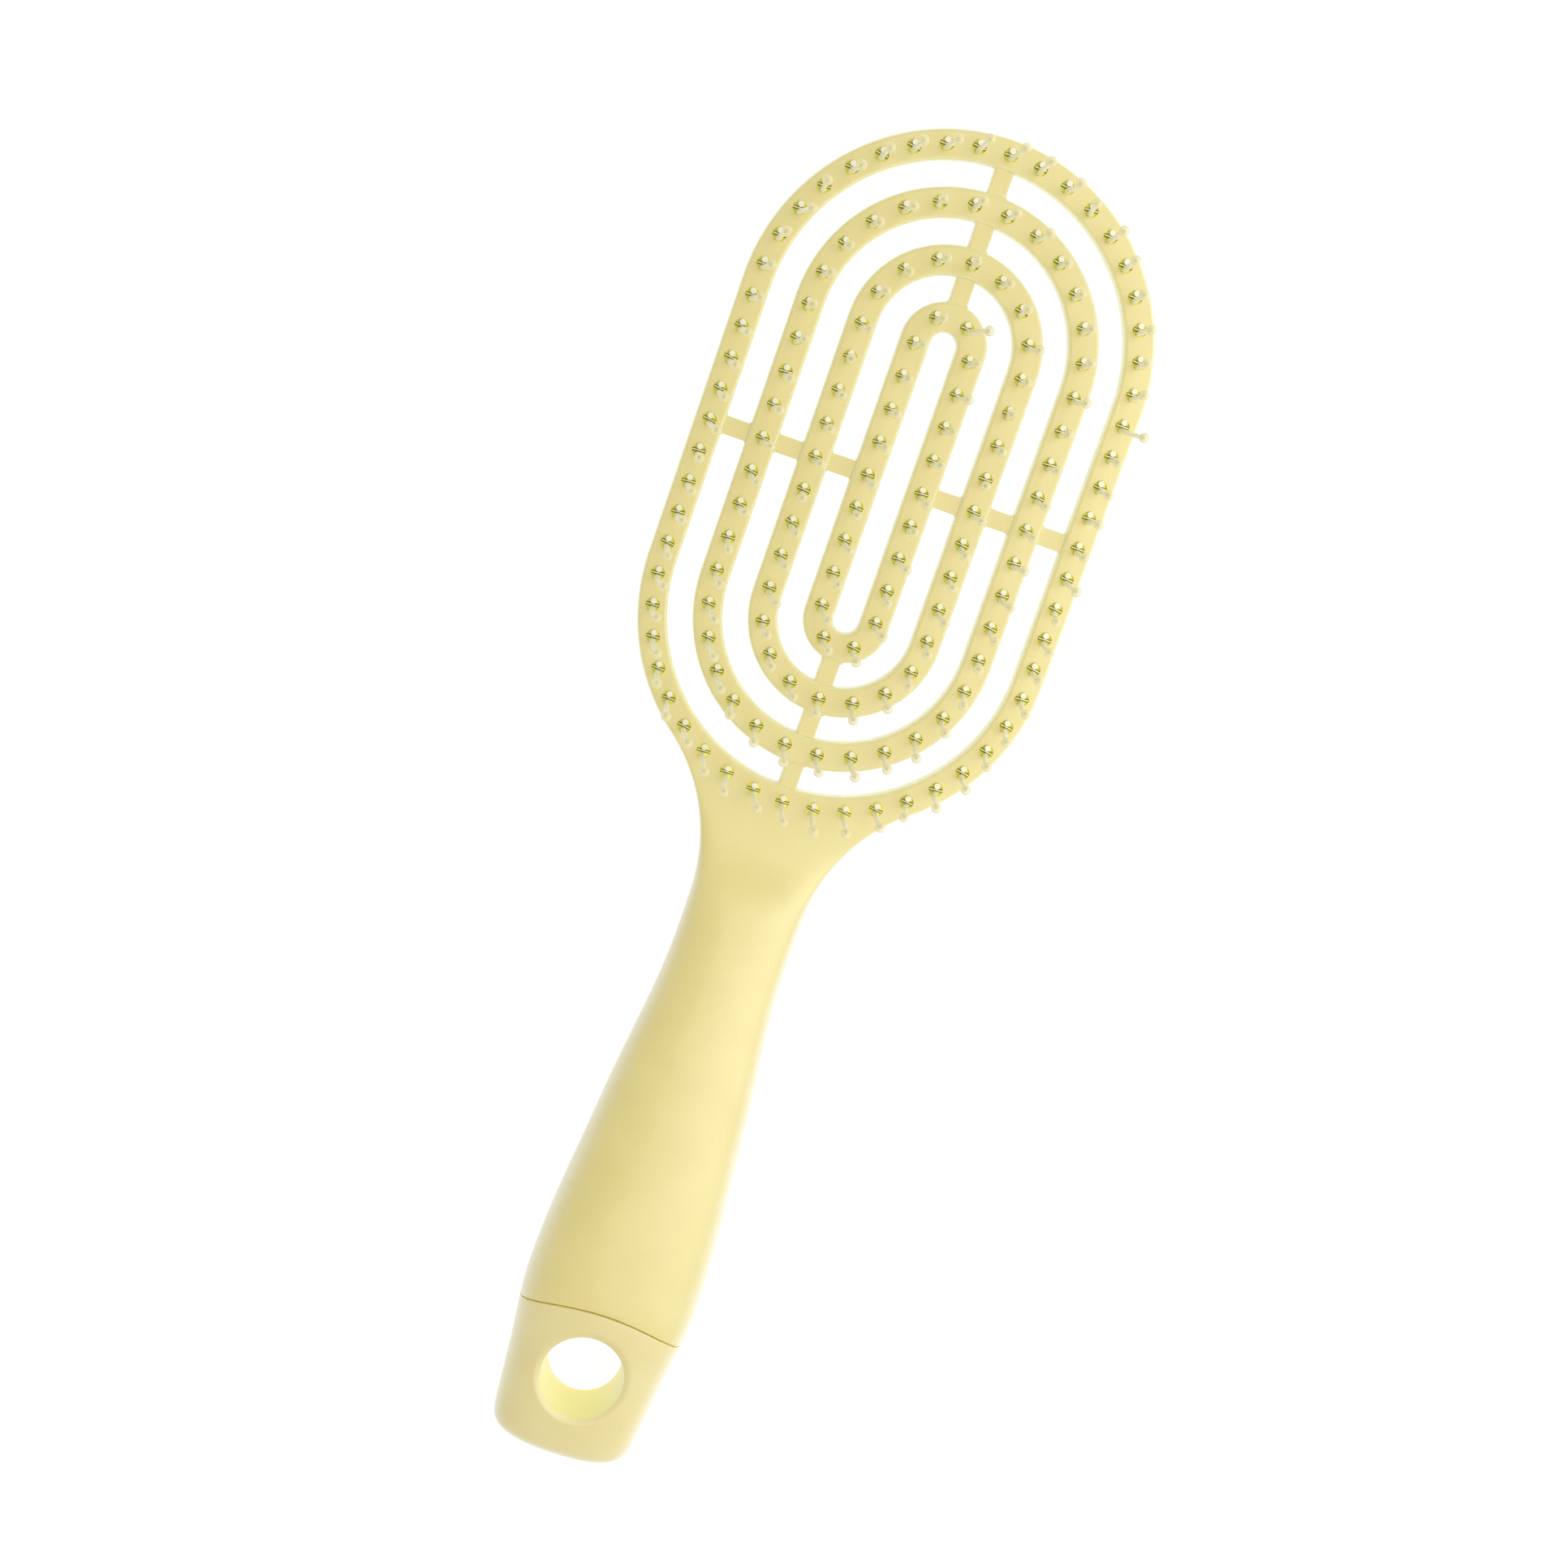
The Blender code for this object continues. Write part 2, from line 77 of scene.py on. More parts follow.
# Handle: plan and heights
NECK_FILLET = 31.5 * MM
NECK_RISE = 17.0 * MM
WAIST_HALF_WIDTH = 9.9 * MM
WAIST_FROM_HEAD = 24.0 * MM
SWELL_HALF_WIDTH = 12.8 * MM
SWELL_FROM_HEAD = 55.0 * MM
BELLY_HALF_WIDTH = 15.15 * MM
BELLY_FROM_HEAD = 87.5 * MM
HOLE_HALF_WIDTH = 13.7 * MM
END_HALF_WIDTH = 12.2 * MM
WAIST_TOP = 10.6 * MM
BELLY_TOP = 15.0 * MM
HOLE_TOP = 13.8 * MM
END_TOP = 11.1 * MM
WAIST_LIFT = 0.7 * MM
END_LIFT = 0.7 * MM
NECK_SQUARENESS = 4.0
GRIP_SQUARENESS = 2.35
END_SQUARENESS = 10.0
END_ZONE = 14.5 * MM
END_TRIM = 0.5 * MM

# End cap
CAP_LENGTH = 29.5 * MM
PARTING_ARCH = 3.4 * MM
PARTING_GAP = 0.22 * MM
PARTING_LIP = 0.20 * MM
PARTING_LIP_SHARES = (0.0, 0.35, 1.0)
HANDLE_WALL = 2.4 * MM
PLUG_LENGTH = 10.0 * MM
PLUG_CLEARANCE = 0.3 * MM
CAVITY_LENGTH = 50.0 * MM
HANG_HOLE_RADIUS = 7.35 * MM
HANG_HOLE_STRETCH = 1.07
HANG_HOLE_DRAFT_SHARE = 0.10
HANG_HOLE_EDGE = 1.2 * MM
HANG_HOLE_FALL = 0.50 * MM
HANG_HOLE_FALL_POWER = 1.5
HANG_HOLE_RIM_SHARE = 1.001
HANG_HOLE_FROM_END = 16.85 * MM

# Bristles: a filament folded in its pit, with a short cut leg and a long leg that ends in a ball
LEG_RADIUS = 0.46 * MM
LEG_TIP_RADIUS = 0.36 * MM
LEG_SIDES = 14
LEG_OFFSET = 0.68 * MM
TO_SHORT_LEG = Vector((0, LEG_OFFSET, 0))
SHORT_LEG_HEIGHT = 0.42 * MM
SHORT_LEG_HEIGHT_SHARES = (0.75, 1.15)
SHORT_LEG_SHIFT = 0.04 * MM
SHORT_LEG_FLARE = 0.07 * MM
SHORT_LEG_DROPS = (0.0, 0.05 * MM, 0.22 * MM)
ROOT_DEPTH = 0.6 * MM
ROOT_OFFSET_SHARE = 0.95
FOLD_DEPTH = 1.6 * MM
FOLD_OFFSET_SHARE = 0.9
FOLD_DROP_SHARE = 0.6
FOLD_RADIUS_SHARE = 0.94
FOLD_ROWS = 6
LONG_LEG_BOW = 0.12 * MM
LONG_LEG_ROWS = 8
BALL_RADIUS = 0.86 * MM
BALL_HEIGHT = 17.5 * MM
BALL_NECK_SHARE = 1.35
BALL_OVERLAP_SHARE = 0.98
BALL_CROWN_TURN = 0.06
BALL_ROWS = 10
OUTER_LEAN_SHARE = 0.070
LEAN_SPREAD = 0.45 * MM
LENGTHWISE_SPREAD_SHARE = 0.7
HEIGHT_SPREAD = 0.25 * MM
DRAW_SEED = 7

# Two bristles that stand bent, by ring and tuft number
BENT_BALLS = {("outer", 10): Vector((3.0, -0.4, 0)) * MM, ("inner", 0): Vector((2.4, 0.6, 0)) * MM}

# Staples
STAPLE_LENGTH = 2.5 * MM
STAPLE_WIDTH = 0.52 * MM
STAPLE_TOP_WIDTH = 0.19 * MM
STAPLE_SHOULDER = 0.05 * MM
STAPLE_DEPTH = 0.6 * MM
STAPLE_RISE = 0.10 * MM
STAPLE_STRAIGHT_SHARE = 0.86
STAPLE_END_WIDTH_SHARE = 0.55
STAPLE_END_DIP = 0.12 * MM
STAPLE_TURNS = (-9, 6)

# Material numbers of a moulding's faces, of a bristle's and of a staple's.
# A recess is a pit in the frame and the hanging hole's wall in the cap. Recesses and the seam take copies of
# the plastic painted brighter as painted light.
PLAIN, SEAM, RECESS = 0, 1, 2
LEG, BALL, CUT_END = 0, 1, 2
# A staple's dark flanks and ends are painted shade
BRIGHT, STAPLE_PAINTED_SHADE = 0, 1

# Plastics: the mottle's two colours, the paler colours painted on upright walls of handle and head as
# painted glow, roughness, sheen
HANDLE_WALL_PAINTED_GLOW, RING_WALL_PAINTED_GLOW = (0.80, 0.73, 0.42), (0.88, 0.85, 0.44)
# Painted light: the hole's wall, the pits and the parting gap are the cap's and frame's own plastic, painted
# brighter and yellower to stand for light in these shaded places
HOLE_WALL_PAINTED_LIGHT, PIT_WALL_PAINTED_LIGHT, SEAM_WALL_PAINTED_LIGHT = (0.95, 0.89, 0.26), (0.95, 0.92, 0.12), (1.0, 0.89, 0.20)
FRAME_MOTTLE = ((0.70, 0.580, 0.15), (0.74, 0.620, 0.18))
CAP_MOTTLE = ((0.725, 0.605, 0.21), (0.765, 0.645, 0.24))
HOLE_PAINTED_LIGHT_MOTTLE = ((0.77, 0.71, 0.18), (0.81, 0.75, 0.21))
PIT_PAINTED_LIGHT_MOTTLE = ((0.93, 0.90, 0.10), (0.97, 0.94, 0.15))
SEAM_PAINTED_LIGHT_MOTTLE = ((0.96, 0.83, 0.15), (1.0, 0.87, 0.18))
PLASTICS = {
    "frame_plastic_look": (FRAME_MOTTLE, HANDLE_WALL_PAINTED_GLOW, RING_WALL_PAINTED_GLOW, 0.38, 0.6),
    "cap_plastic_look": (CAP_MOTTLE, HANDLE_WALL_PAINTED_GLOW, HANDLE_WALL_PAINTED_GLOW, 0.38, 0.6),
    "hole_plastic_painted_light": (HOLE_PAINTED_LIGHT_MOTTLE, HOLE_WALL_PAINTED_LIGHT, HOLE_WALL_PAINTED_LIGHT, 0.40, 0.2),
    "pit_plastic_painted_light": (PIT_PAINTED_LIGHT_MOTTLE, PIT_WALL_PAINTED_LIGHT, PIT_WALL_PAINTED_LIGHT, 0.5, 0.0),
    "seam_plastic_painted_light": (SEAM_PAINTED_LIGHT_MOTTLE, SEAM_WALL_PAINTED_LIGHT, SEAM_WALL_PAINTED_LIGHT, 0.5, 0.0),
}

# Cosines of the slopes between which a surface takes on the paler colour of an upright wall, a painted glow
# of the light that the white table throws on walls and edges
HANDLE_PAINTED_GLOW_SLOPES = (0.95, 0.45)
HEAD_PAINTED_GLOW_SLOPES = (0.995, 0.80)

# Nylons: colour, how much they cover from the front and at the rim, and sheen
NYLONS = {
    "nylon_leg": ((1.0, 0.97, 0.74), 0.72, 0.90, 0.4),
    # Painted shade: the ball's colour is darker and yellower than the leg's, standing for the darkened core
    # that its refraction shows
    "nylon_ball_painted_core_shade": ((0.93, 0.86, 0.50), 0.38, 0.85, 0.8),
    "nylon_cut_end": ((0.92, 0.89, 0.68), 1.0, 1.0, 0.3),
}

# Wires: the two colours of their drawn lines, and roughness
WIRES = {
    "bright_wire": (((0.62, 0.56, 0.28), (0.70, 0.64, 0.34)), 0.45),
    # Painted shade: this dark wire goes on the staples' flanks and ends, standing for the shade along both
    # sides of each staple
    "wire_painted_shade": (((0.16, 0.145, 0.02), (0.21, 0.19, 0.03)), 0.55),
}

# White room and table: what lights the brush, and what the camera sees of them
ROOM_LEVEL, SEEN_ROOM_LEVEL = 0.61, 1.0
TABLE_GREY, TABLE_GLOW = 0.90, 0.4
SEEN_TABLE_GREY, SEEN_TABLE_GLOW = 0.16, 0.93
TABLE_HALF_SIZE = 4.0
TABLE_DROP = 0.05 * MM

# Softboxes: place, the point that they face, length along the brush, width and power
SOFTBOXES = {
    "fill": ((0.44, 0.36, 0.48), (0, 0.06, 0), 0.60, 0.60, 0.5),
    "key": ((0.34, 0.04, 0.50), (0, 0.04, 0), 0.76, 0.80, 2.35),
}

# Camera of the photograph: millimetres for the lens and the sensor, degrees for the turns
CAMERA_LENS, SENSOR_WIDTH = 57.963, 36.0
CAMERA_NEAR = 0.01
CAMERA_PLACE = Vector((-29.73, 65.49, 430.66)) * MM
CAMERA_TURNS = (("X", -7.921), ("Y", -3.856), ("Z", 18.954))

# Places that follow from the sizes above
TIP_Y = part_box("brush_frame")[1].y
END_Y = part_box("end_cap")[0].y + END_TRIM
RING_COUNT = len(RING_TUFTS)
RING_RADII = [INNER_RING_RADIUS + RING_PITCH * ring for ring in range(RING_COUNT)]
HEAD_RADIUS = RING_RADII[-1] + RING_WIDTH / 2
TOP_ARC_Y = TIP_Y - HEAD_RADIUS
BOTTOM_ARC_Y = TOP_ARC_Y - RING_STRAIGHT
HEAD_EDGE_Y = BOTTOM_ARC_Y - HEAD_RADIUS
MIDDLE_Y = (TOP_ARC_Y + BOTTOM_ARC_Y) / 2
WAIST_Y = HEAD_EDGE_Y - WAIST_FROM_HEAD
SWELL_Y = HEAD_EDGE_Y - SWELL_FROM_HEAD
BELLY_Y = HEAD_EDGE_Y - BELLY_FROM_HEAD
PARTING_Y = END_Y + CAP_LENGTH
HOLE_Y = END_Y + HANG_HOLE_FROM_END
HOLE_CLEAR_Y = HOLE_Y - HANG_HOLE_RADIUS * HANG_HOLE_STRETCH - 2 * HANG_HOLE_EDGE
END_ZONE_Y = END_Y + END_ZONE
FILLET_X = WAIST_HALF_WIDTH + NECK_FILLET
FILLET_Y = BOTTOM_ARC_Y - math.sqrt((HEAD_RADIUS + NECK_FILLET) ** 2 - FILLET_X**2)
FILLET_TURN = math.atan2(BOTTOM_ARC_Y - FILLET_Y, FILLET_X)
TANGENT_Y = FILLET_Y + NECK_FILLET * math.sin(FILLET_TURN)

# Shares of the handle's section and of its bulge that are smaller than these count as none
TINY_SHARE = 1e-6
TINY_BULGE = 1e-5

# Points closer than this are one point, and a body thinner than this has no thickness
SAME_PLACE = 1e-7
NO_THICKNESS = 1e-6

# Largest distance between the points of a net, and how clear of its lines, in steps, loose ones stay
GRID_STEP = 1.2 * MM
CLEAR_STEPS = 0.6

# Edges with a larger turn than these, in degrees, are sharp
SMOOTH_ANGLE = 36.0
BRISTLE_SMOOTH_ANGLE = 50
STAPLE_SMOOTH_ANGLE = 25

# Rows from an edge inward, as turns of the edge's own rounding
EDGE_TURNS = tuple(math.radians(turn) for turn in (0, 9, 18, 28, 38, 48, 57, 66, 74, 82, 90))
COARSE_TURNS = EDGE_TURNS[::2]
CAP_ROWS = 6

# How many points a row has on each stretch
GRIP_POINTS, FILLET_POINTS, SHOULDER_POINTS, SIDE_POINTS, TIP_POINTS = 48, 30, 44, 36, 66
CAP_SIDE_POINTS, CAP_END_POINTS, CAP_CROWN_POINTS = 14, 70, 50
PARTING_POINTS = 8
HANG_HOLE_SIDES = 72
INNER_SECTION_SIDES, INNER_SECTIONS = 40, 10


def smooth_step(value):
    """From 0 to 1, with a smooth start and stop."""
    t = min(max(value, 0.0), 1.0)
    return t * t * (3 - 2 * t)


def smooth_value(stations, place):
    """Read a value from (place, value) stations, joined by a curve that never overshoots."""
    places, values = zip(*stations)
    count = len(places)
    slopes = [(values[i + 1] - values[i]) / (places[i + 1] - places[i]) for i in range(count - 1)]
    tangents = [slopes[0]]
    for before, after in zip(slopes, slopes[1:]):
        same_way = before * after > 0
        tangents.append(2 * before * after / (before + after) if same_way else 0.0)
    tangents.append(slopes[-1])
    if place <= places[0]:
        return values[0]
    if place >= places[-1]:
        return values[-1]
    i = max(k for k in range(count - 1) if places[k] <= place)
    span = places[i + 1] - places[i]
    t = (place - places[i]) / span
    return (
        values[i] * (1 + 2 * t) * (1 - t) ** 2
        + values[i + 1] * t * t * (3 - 2 * t)
        + span * tangents[i] * t * (1 - t) ** 2
        - span * tangents[i + 1] * t * t * (1 - t)
    )


def spread(start, end, count):
    """Evenly spaced values from start to end, both included."""
    return [start + (end - start) * i / (count - 1) for i in range(count)]


# Plan and heights of the handle

def half_width(y):
    """Half of the handle's width in plan, without the rounding of its end."""
    if y >= FILLET_Y:
        drop = min(y - FILLET_Y, NECK_FILLET)
        return FILLET_X - math.sqrt(NECK_FILLET**2 - drop**2)
    stations = [
        (END_Y, END_HALF_WIDTH),
        (HOLE_Y, HOLE_HALF_WIDTH),
        (BELLY_Y, BELLY_HALF_WIDTH),
        (SWELL_Y, SWELL_HALF_WIDTH),
        (WAIST_Y, WAIST_HALF_WIDTH),
        (FILLET_Y, WAIST_HALF_WIDTH),
    ]
    return smooth_value(stations, y)


def top_height(y):
    """Height of the handle's top on the middle line."""
    stations = [
        (END_Y, END_TOP),
        (HOLE_Y, HOLE_TOP),
        (BELLY_Y, BELLY_TOP),
        (WAIST_Y, WAIST_TOP),
        (HEAD_EDGE_Y, RING_THICKNESS),
    ]
    return smooth_value(stations, y)


def underside_height(y):
    """Height of the handle's back on the middle line."""
    stations = [(END_Y, END_LIFT), (BELLY_Y, 0.0), (WAIST_Y, WAIST_LIFT), (HEAD_EDGE_Y, 0.0)]
    return smooth_value(stations, y)


def squareness(y):
    """Power of the superellipse that is the handle's section."""
    return smooth_value([(WAIST_Y, GRIP_SQUARENESS), (HEAD_EDGE_Y, NECK_SQUARENESS)], y)


def end_share(y):
    """From 0 where the cap's end zone starts to 1 at its very end."""
    return min(max((END_ZONE_Y - y) / END_ZONE, 0.0), 1.0)


def bulge(x, y):
    """Share of the handle's full half height over a plan point: 1 on the middle line, 0 at the edge."""
    power = squareness(y)
    rest = 1 - min(abs(x) / half_width(y), 1.0) ** power - end_share(y) ** END_SQUARENESS
    return rest ** (1 / power) if rest > TINY_BULGE else 0.0


def rounding(depth, radius):
    """How far a rounded edge falls at a depth in from it."""
    if depth >= radius:
        return 0.0
    return radius - math.sqrt(radius**2 - (radius - max(depth, 0.0)) ** 2)


def back_rise(depth):
    """How high a ring's rounded back stands at a depth in from its side."""
    side = 1 - min(max(depth, 0.0) / RING_BACK_EDGE, 1.0)
    return RING_BACK_HEIGHT * (1 - math.sqrt(1 - side**2))


def head_reach(x, y):
    """Distance of a plan point from the head's core line, which the rings run round."""
    core = min(max(y, BOTTOM_ARC_Y), TOP_ARC_Y)
    return math.hypot(x, y - core)


def grip_share(x, y):
    """From 0 on the head to 1 where the handle's own section has taken over."""
    if y >= BOTTOM_ARC_Y:
        return 0.0
    return smooth_step((math.hypot(x, y - BOTTOM_ARC_Y) - HEAD_RADIUS) / NECK_RISE)


def neck_depth(x, y):
    """Distance in from the neck's outline."""
    if y >= FILLET_Y:
        return math.hypot(FILLET_X - abs(x), y - FILLET_Y) - NECK_FILLET
    return half_width(y) - abs(x)


def parting_y(x):
    """The parting line in plan, arched towards the head."""
    return PARTING_Y - PARTING_ARCH * (x / BELLY_HALF_WIDTH) ** 2


def handle_heights(x, y):
    """Top and bottom of the handle over a plan point."""
    middle = (top_height(y) + underside_height(y)) / 2
    reach = (top_height(y) - underside_height(y)) / 2 * bulge(x, y)
    return middle + reach, middle - reach


def plate_heights(depth):
    """Top and bottom of a ring at a depth in from its side."""
    return RING_THICKNESS - rounding(depth, RING_EDGE), back_rise(depth)


def pressed(top, bottom, fall):
    """Two heights brought together by a fall each, but never past their middle."""
    middle = (top + bottom) / 2
    return max(top - fall, middle), min(bottom + fall, middle)


def frame_heights(x, y):
    """Top and bottom of the frame's outer ring, neck and handle over a plan point."""
    share = grip_share(x, y)
    if share < TINY_SHARE:
        reach = head_reach(x, y)
        inner = reach - (HEAD_RADIUS - RING_WIDTH)
        outer = HEAD_RADIUS - reach
        if y < TANGENT_Y and abs(x) < half_width(y):
            outer = max(outer, neck_depth(x, y))
        return plate_heights(min(inner, outer))
    flat_top, flat_bottom = plate_heights(neck_depth(x, y))
    top, bottom = handle_heights(x, y)
    top = flat_top * (1 - share) + top * share
    bottom = flat_bottom * (1 - share) + bottom * share
    return pressed(top, bottom, rounding(y - parting_y(x), PARTING_LIP))


def hole_reach(x, y):
    """Distance of a plan point from the middle of the hanging hole, measured across the hole."""
    return math.hypot(x, (y - HOLE_Y) / HANG_HOLE_STRETCH)


def cap_heights(x, y):
    """Top and bottom of the end cap over a plan point."""
    top, bottom = handle_heights(x, y)
    lip = rounding(parting_y(x) - PARTING_GAP - y, PARTING_LIP)
    depth = hole_reach(x, y) - HANG_HOLE_RADIUS
    rim = min(max(1 - depth / HANG_HOLE_EDGE, 0.0), 1.0) ** HANG_HOLE_FALL_POWER
    return pressed(top, bottom, lip + HANG_HOLE_FALL * rim)


def ring_heights(x, y):
    """Top and bottom of one of the three inner rings over a plan point."""
    offset = (head_reach(x, y) - INNER_RING_RADIUS) / RING_PITCH
    middle = INNER_RING_RADIUS + RING_PITCH * round(offset)
    return plate_heights(RING_WIDTH / 2 - abs(head_reach(x, y) - middle))


# Plans: lines and points in the XY plane, joined into one net of triangles

class Plan:
    """Lines and points that a net of triangles has to follow."""

    def __init__(self):
        self.points = []
        self.edges = []

    def add_line(self, points, closed=False):
        """Add a line and return where its points are."""
        first = len(self.points)
        self.points += [Vector(point[:2]) for point in points]
        places = list(range(first, len(self.points)))
        self.edges += list(zip(places, places[1:]))
        if closed:
            self.edges.append((places[-1], places[0]))
        return places

    def fill(self, inside, low, high):
        """Add loose points on a staggered grid, clear of the points that are there."""
        tree = KDTree(len(self.points))
        for index, point in enumerate(self.points):
            tree.insert(point.to_3d(), index)
        tree.balance()
        for j in range(int((high[1] - low[1]) / GRID_STEP)):
            for i in range(int((high[0] - low[0]) / GRID_STEP) + 1):
                x, y = low[0] + GRID_STEP * (i + j % 2 / 2), low[1] + GRID_STEP * j
                if inside(x, y) and tree.find(Vector((x, y, 0)))[2] > GRID_STEP * CLEAR_STEPS:
                    self.points.append(Vector((x, y)))

    def net(self, inside):
        """Corners and triangles of the net, kept where the test says inside, and each point's corner."""
        corners, _, faces, origins, _, _ = delaunay_2d_cdt(self.points, self.edges, [], 0, SAME_PLACE)
        kept = []
        for face in faces:
            x = sum(corners[i].x for i in face) / len(face)
            y = sum(corners[i].y for i in face) / len(face)
            if inside(x, y):
                kept.append(list(face))
        corner_of = {point: corner for corner, points in enumerate(origins) for point in points}
        return corners, kept, corner_of


def arc_point(radius, turn, centre_y):
    """Plan point on an arc round the head's middle line, at a turn from the tip's direction."""
    return radius * math.sin(turn), centre_y + radius * math.cos(turn)


def stadium(radius, turns, steps):
    """A closed line at a distance from the head's core line, clockwise from the tip."""
    quarter = turns // 2
    points = [arc_point(radius, math.pi / 2 * i / quarter, TOP_ARC_Y) for i in range(quarter)]
    points += [(radius, y) for y in spread(TOP_ARC_Y, BOTTOM_ARC_Y, steps)[:-1]]
    points += [arc_point(radius, math.pi * i / turns + math.pi / 2, BOTTOM_ARC_Y) for i in range(turns)]
    points += [(-radius, y) for y in spread(BOTTOM_ARC_Y, TOP_ARC_Y, steps)[:-1]]
    points += [arc_point(radius, math.pi / 2 * (i / quarter - 1), TOP_ARC_Y) for i in range(quarter)]
    return points


def circle(centre, radius, sides):
    """A closed round line in plan."""
    turns = [2 * math.pi * i / sides for i in range(sides)]
    return [(centre[0] + radius * math.cos(t), centre[1] + radius * math.sin(t)) for t in turns]


def ring_point(radius, along):
    """Plan point on a ring's middle line, at a distance along it clockwise from the tip."""
    quarter = radius * math.pi / 2
    if along < quarter:
        return arc_point(radius, along / radius, TOP_ARC_Y)
    if along < quarter + RING_STRAIGHT:
        return radius, TOP_ARC_Y - (along - quarter)
    if along < 3 * quarter + RING_STRAIGHT:
        return arc_point(radius, (along - RING_STRAIGHT) / radius, BOTTOM_ARC_Y)
    if along < 3 * quarter + 2 * RING_STRAIGHT:
        return -radius, BOTTOM_ARC_Y + along - 3 * quarter - RING_STRAIGHT
    return arc_point(radius, (along - 2 * RING_STRAIGHT) / radius, TOP_ARC_Y)


def tuft_places(ring):
    """Plan places of a ring's tufts, clockwise from the head's tip."""
    radius = RING_RADII[ring]
    length = 2 * math.pi * radius + 2 * RING_STRAIGHT
    places = []
    for index in range(RING_TUFTS[ring]):
        along = (index + FIRST_TUFT_SHARES[ring]) * length / RING_TUFTS[ring]
        places.append(Vector((*ring_point(radius, along), 0)))
    return places


def outline_inset(power, turn):
    """Share of the half width at which a superellipse's side has turned by an angle."""
    return max(1 - math.sin(turn) ** power, 0.0) ** (1 / power)


def arched_point(centre_y, share, arch):
    """Plan point at a share of the half width, on a line across that bends like the parting line."""
    y = centre_y
    for _ in range(3):
        y = centre_y - arch * PARTING_ARCH * (share * half_width(y) / BELLY_HALF_WIDTH) ** 2
    return share * half_width(y), y


def fillet_point(turn, angle):
    """Plan point of a row round the neck's fillet, in a direction from the fillet's middle."""
    out = Vector((-math.cos(angle), math.sin(angle)))
    edge = Vector((FILLET_X, FILLET_Y)) + out * NECK_FILLET
    share = grip_share(edge.x, edge.y)
    inset = RING_EDGE * (1 - math.cos(turn)) * (1 - share)
    inset += share * edge.x * (1 - outline_inset(squareness(edge.y), turn))
    inward = (out * (1 - share) + Vector((-1, 0)) * share).normalized()
    return tuple(edge + inward * inset)


def neck_row(turn):
    """Right half of a row round the frame's outline, from the parting line up to the head's tip."""
    row = []
    for centre_y in spread(PARTING_Y, FILLET_Y, GRIP_POINTS):
        arch = smooth_step((PARTING_Y + 2 * CAP_LENGTH - centre_y) / (2 * CAP_LENGTH))
        row.append(arched_point(centre_y, outline_inset(squareness(centre_y), turn), arch))
    row += [fillet_point(turn, angle) for angle in spread(0.0, FILLET_TURN, FILLET_POINTS)[1:]]
    radius = HEAD_RADIUS - RING_EDGE * (1 - math.cos(turn))
    start = math.atan2(math.cos(FILLET_TURN), -math.sin(FILLET_TURN))
    shoulder = spread(start, math.pi / 2, SHOULDER_POINTS)[1:]
    row += [arc_point(radius, angle, BOTTOM_ARC_Y) for angle in shoulder]
    row += [(radius, y) for y in spread(BOTTOM_ARC_Y, TOP_ARC_Y, SIDE_POINTS)[1:]]
    row += [arc_point(radius, angle, TOP_ARC_Y) for angle in spread(math.pi / 2, 0.0, TIP_POINTS)[1:]]
    return row


def mirrored(row):
    """A row and its mirror image on the left, as one line."""
    return row + [(-x, y) for x, y in reversed(row) if x > SAME_PLACE]


def parting_line(shift, rows):
    """A line across the handle along the parting, through the ends of the rows beside it."""
    shares = [outline_inset(GRIP_SQUARENESS, turn) for turn in rows]
    inner = min(share for share in shares if share > TINY_SHARE)
    shares += spread(0.0, inner, PARTING_POINTS)[:-1]
    points = []
    for share in sorted(set(shares)):
        x, y = 0.0, PARTING_Y
        for _ in range(4):
            x = share * half_width(y)
            y = parting_y(x) + shift
        points.append((x, y))
    return [(-x, y) for x, y in reversed(points) if x > SAME_PLACE] + points


def inside_frame(x, y):
    """Whether a plan point lies on the outer ring, the neck or the handle."""
    reach = head_reach(x, y)
    if HEAD_RADIUS - RING_WIDTH < reach < HEAD_RADIUS:
        return True
    return reach >= HEAD_RADIUS and parting_y(x) < y < TANGENT_Y and abs(x) < half_width(y)


def inside_cap(x, y):
    """Whether a plan point lies on the end cap."""
    if y > parting_y(x) - PARTING_GAP or hole_reach(x, y) < HANG_HOLE_RADIUS:
        return False
    return bulge(x, y) > 0


def frame_plan():
    """Plan of the outer ring, neck and handle."""
    plan = Plan()
    for turn in EDGE_TURNS:
        plan.add_line(mirrored(neck_row(turn)))
    for turn in COARSE_TURNS:
        plan.add_line(stadium(HEAD_RADIUS - RING_WIDTH + RING_EDGE * (1 - math.cos(turn)), 96, 28), True)
    for share in PARTING_LIP_SHARES:
        plan.add_line(parting_line(PARTING_LIP * share, EDGE_TURNS))
    plan.fill(inside_frame, (-HEAD_RADIUS, PARTING_Y + GRID_STEP), (HEAD_RADIUS, TANGENT_Y))
    return plan


def ring_plan(ring):
    """Plan of one of the inner rings."""
    plan = Plan()
    for turn in COARSE_TURNS:
        reach = RING_WIDTH / 2 - RING_EDGE * (1 - math.cos(turn))
        for radius in (RING_RADII[ring] + reach, RING_RADII[ring] - reach):
            plan.add_line(stadium(radius, 24 + 20 * ring, 25), True)
    return plan


def end_point(turn, angle):
    """Point of a row round the cap's end, in a direction from the middle of the end zone."""
    goal = 1 - math.sin(turn) ** GRIP_SQUARENESS
    near, far = 0.0, 1.5
    for _ in range(40):
        reach = (near + far) / 2
        across, along = reach * math.cos(angle), reach * math.sin(angle)
        if across**GRIP_SQUARENESS + along**END_SQUARENESS < goal:
            near = reach
        else:
            far = reach
    y = END_ZONE_Y - END_ZONE * along
    return across * half_width(y), y


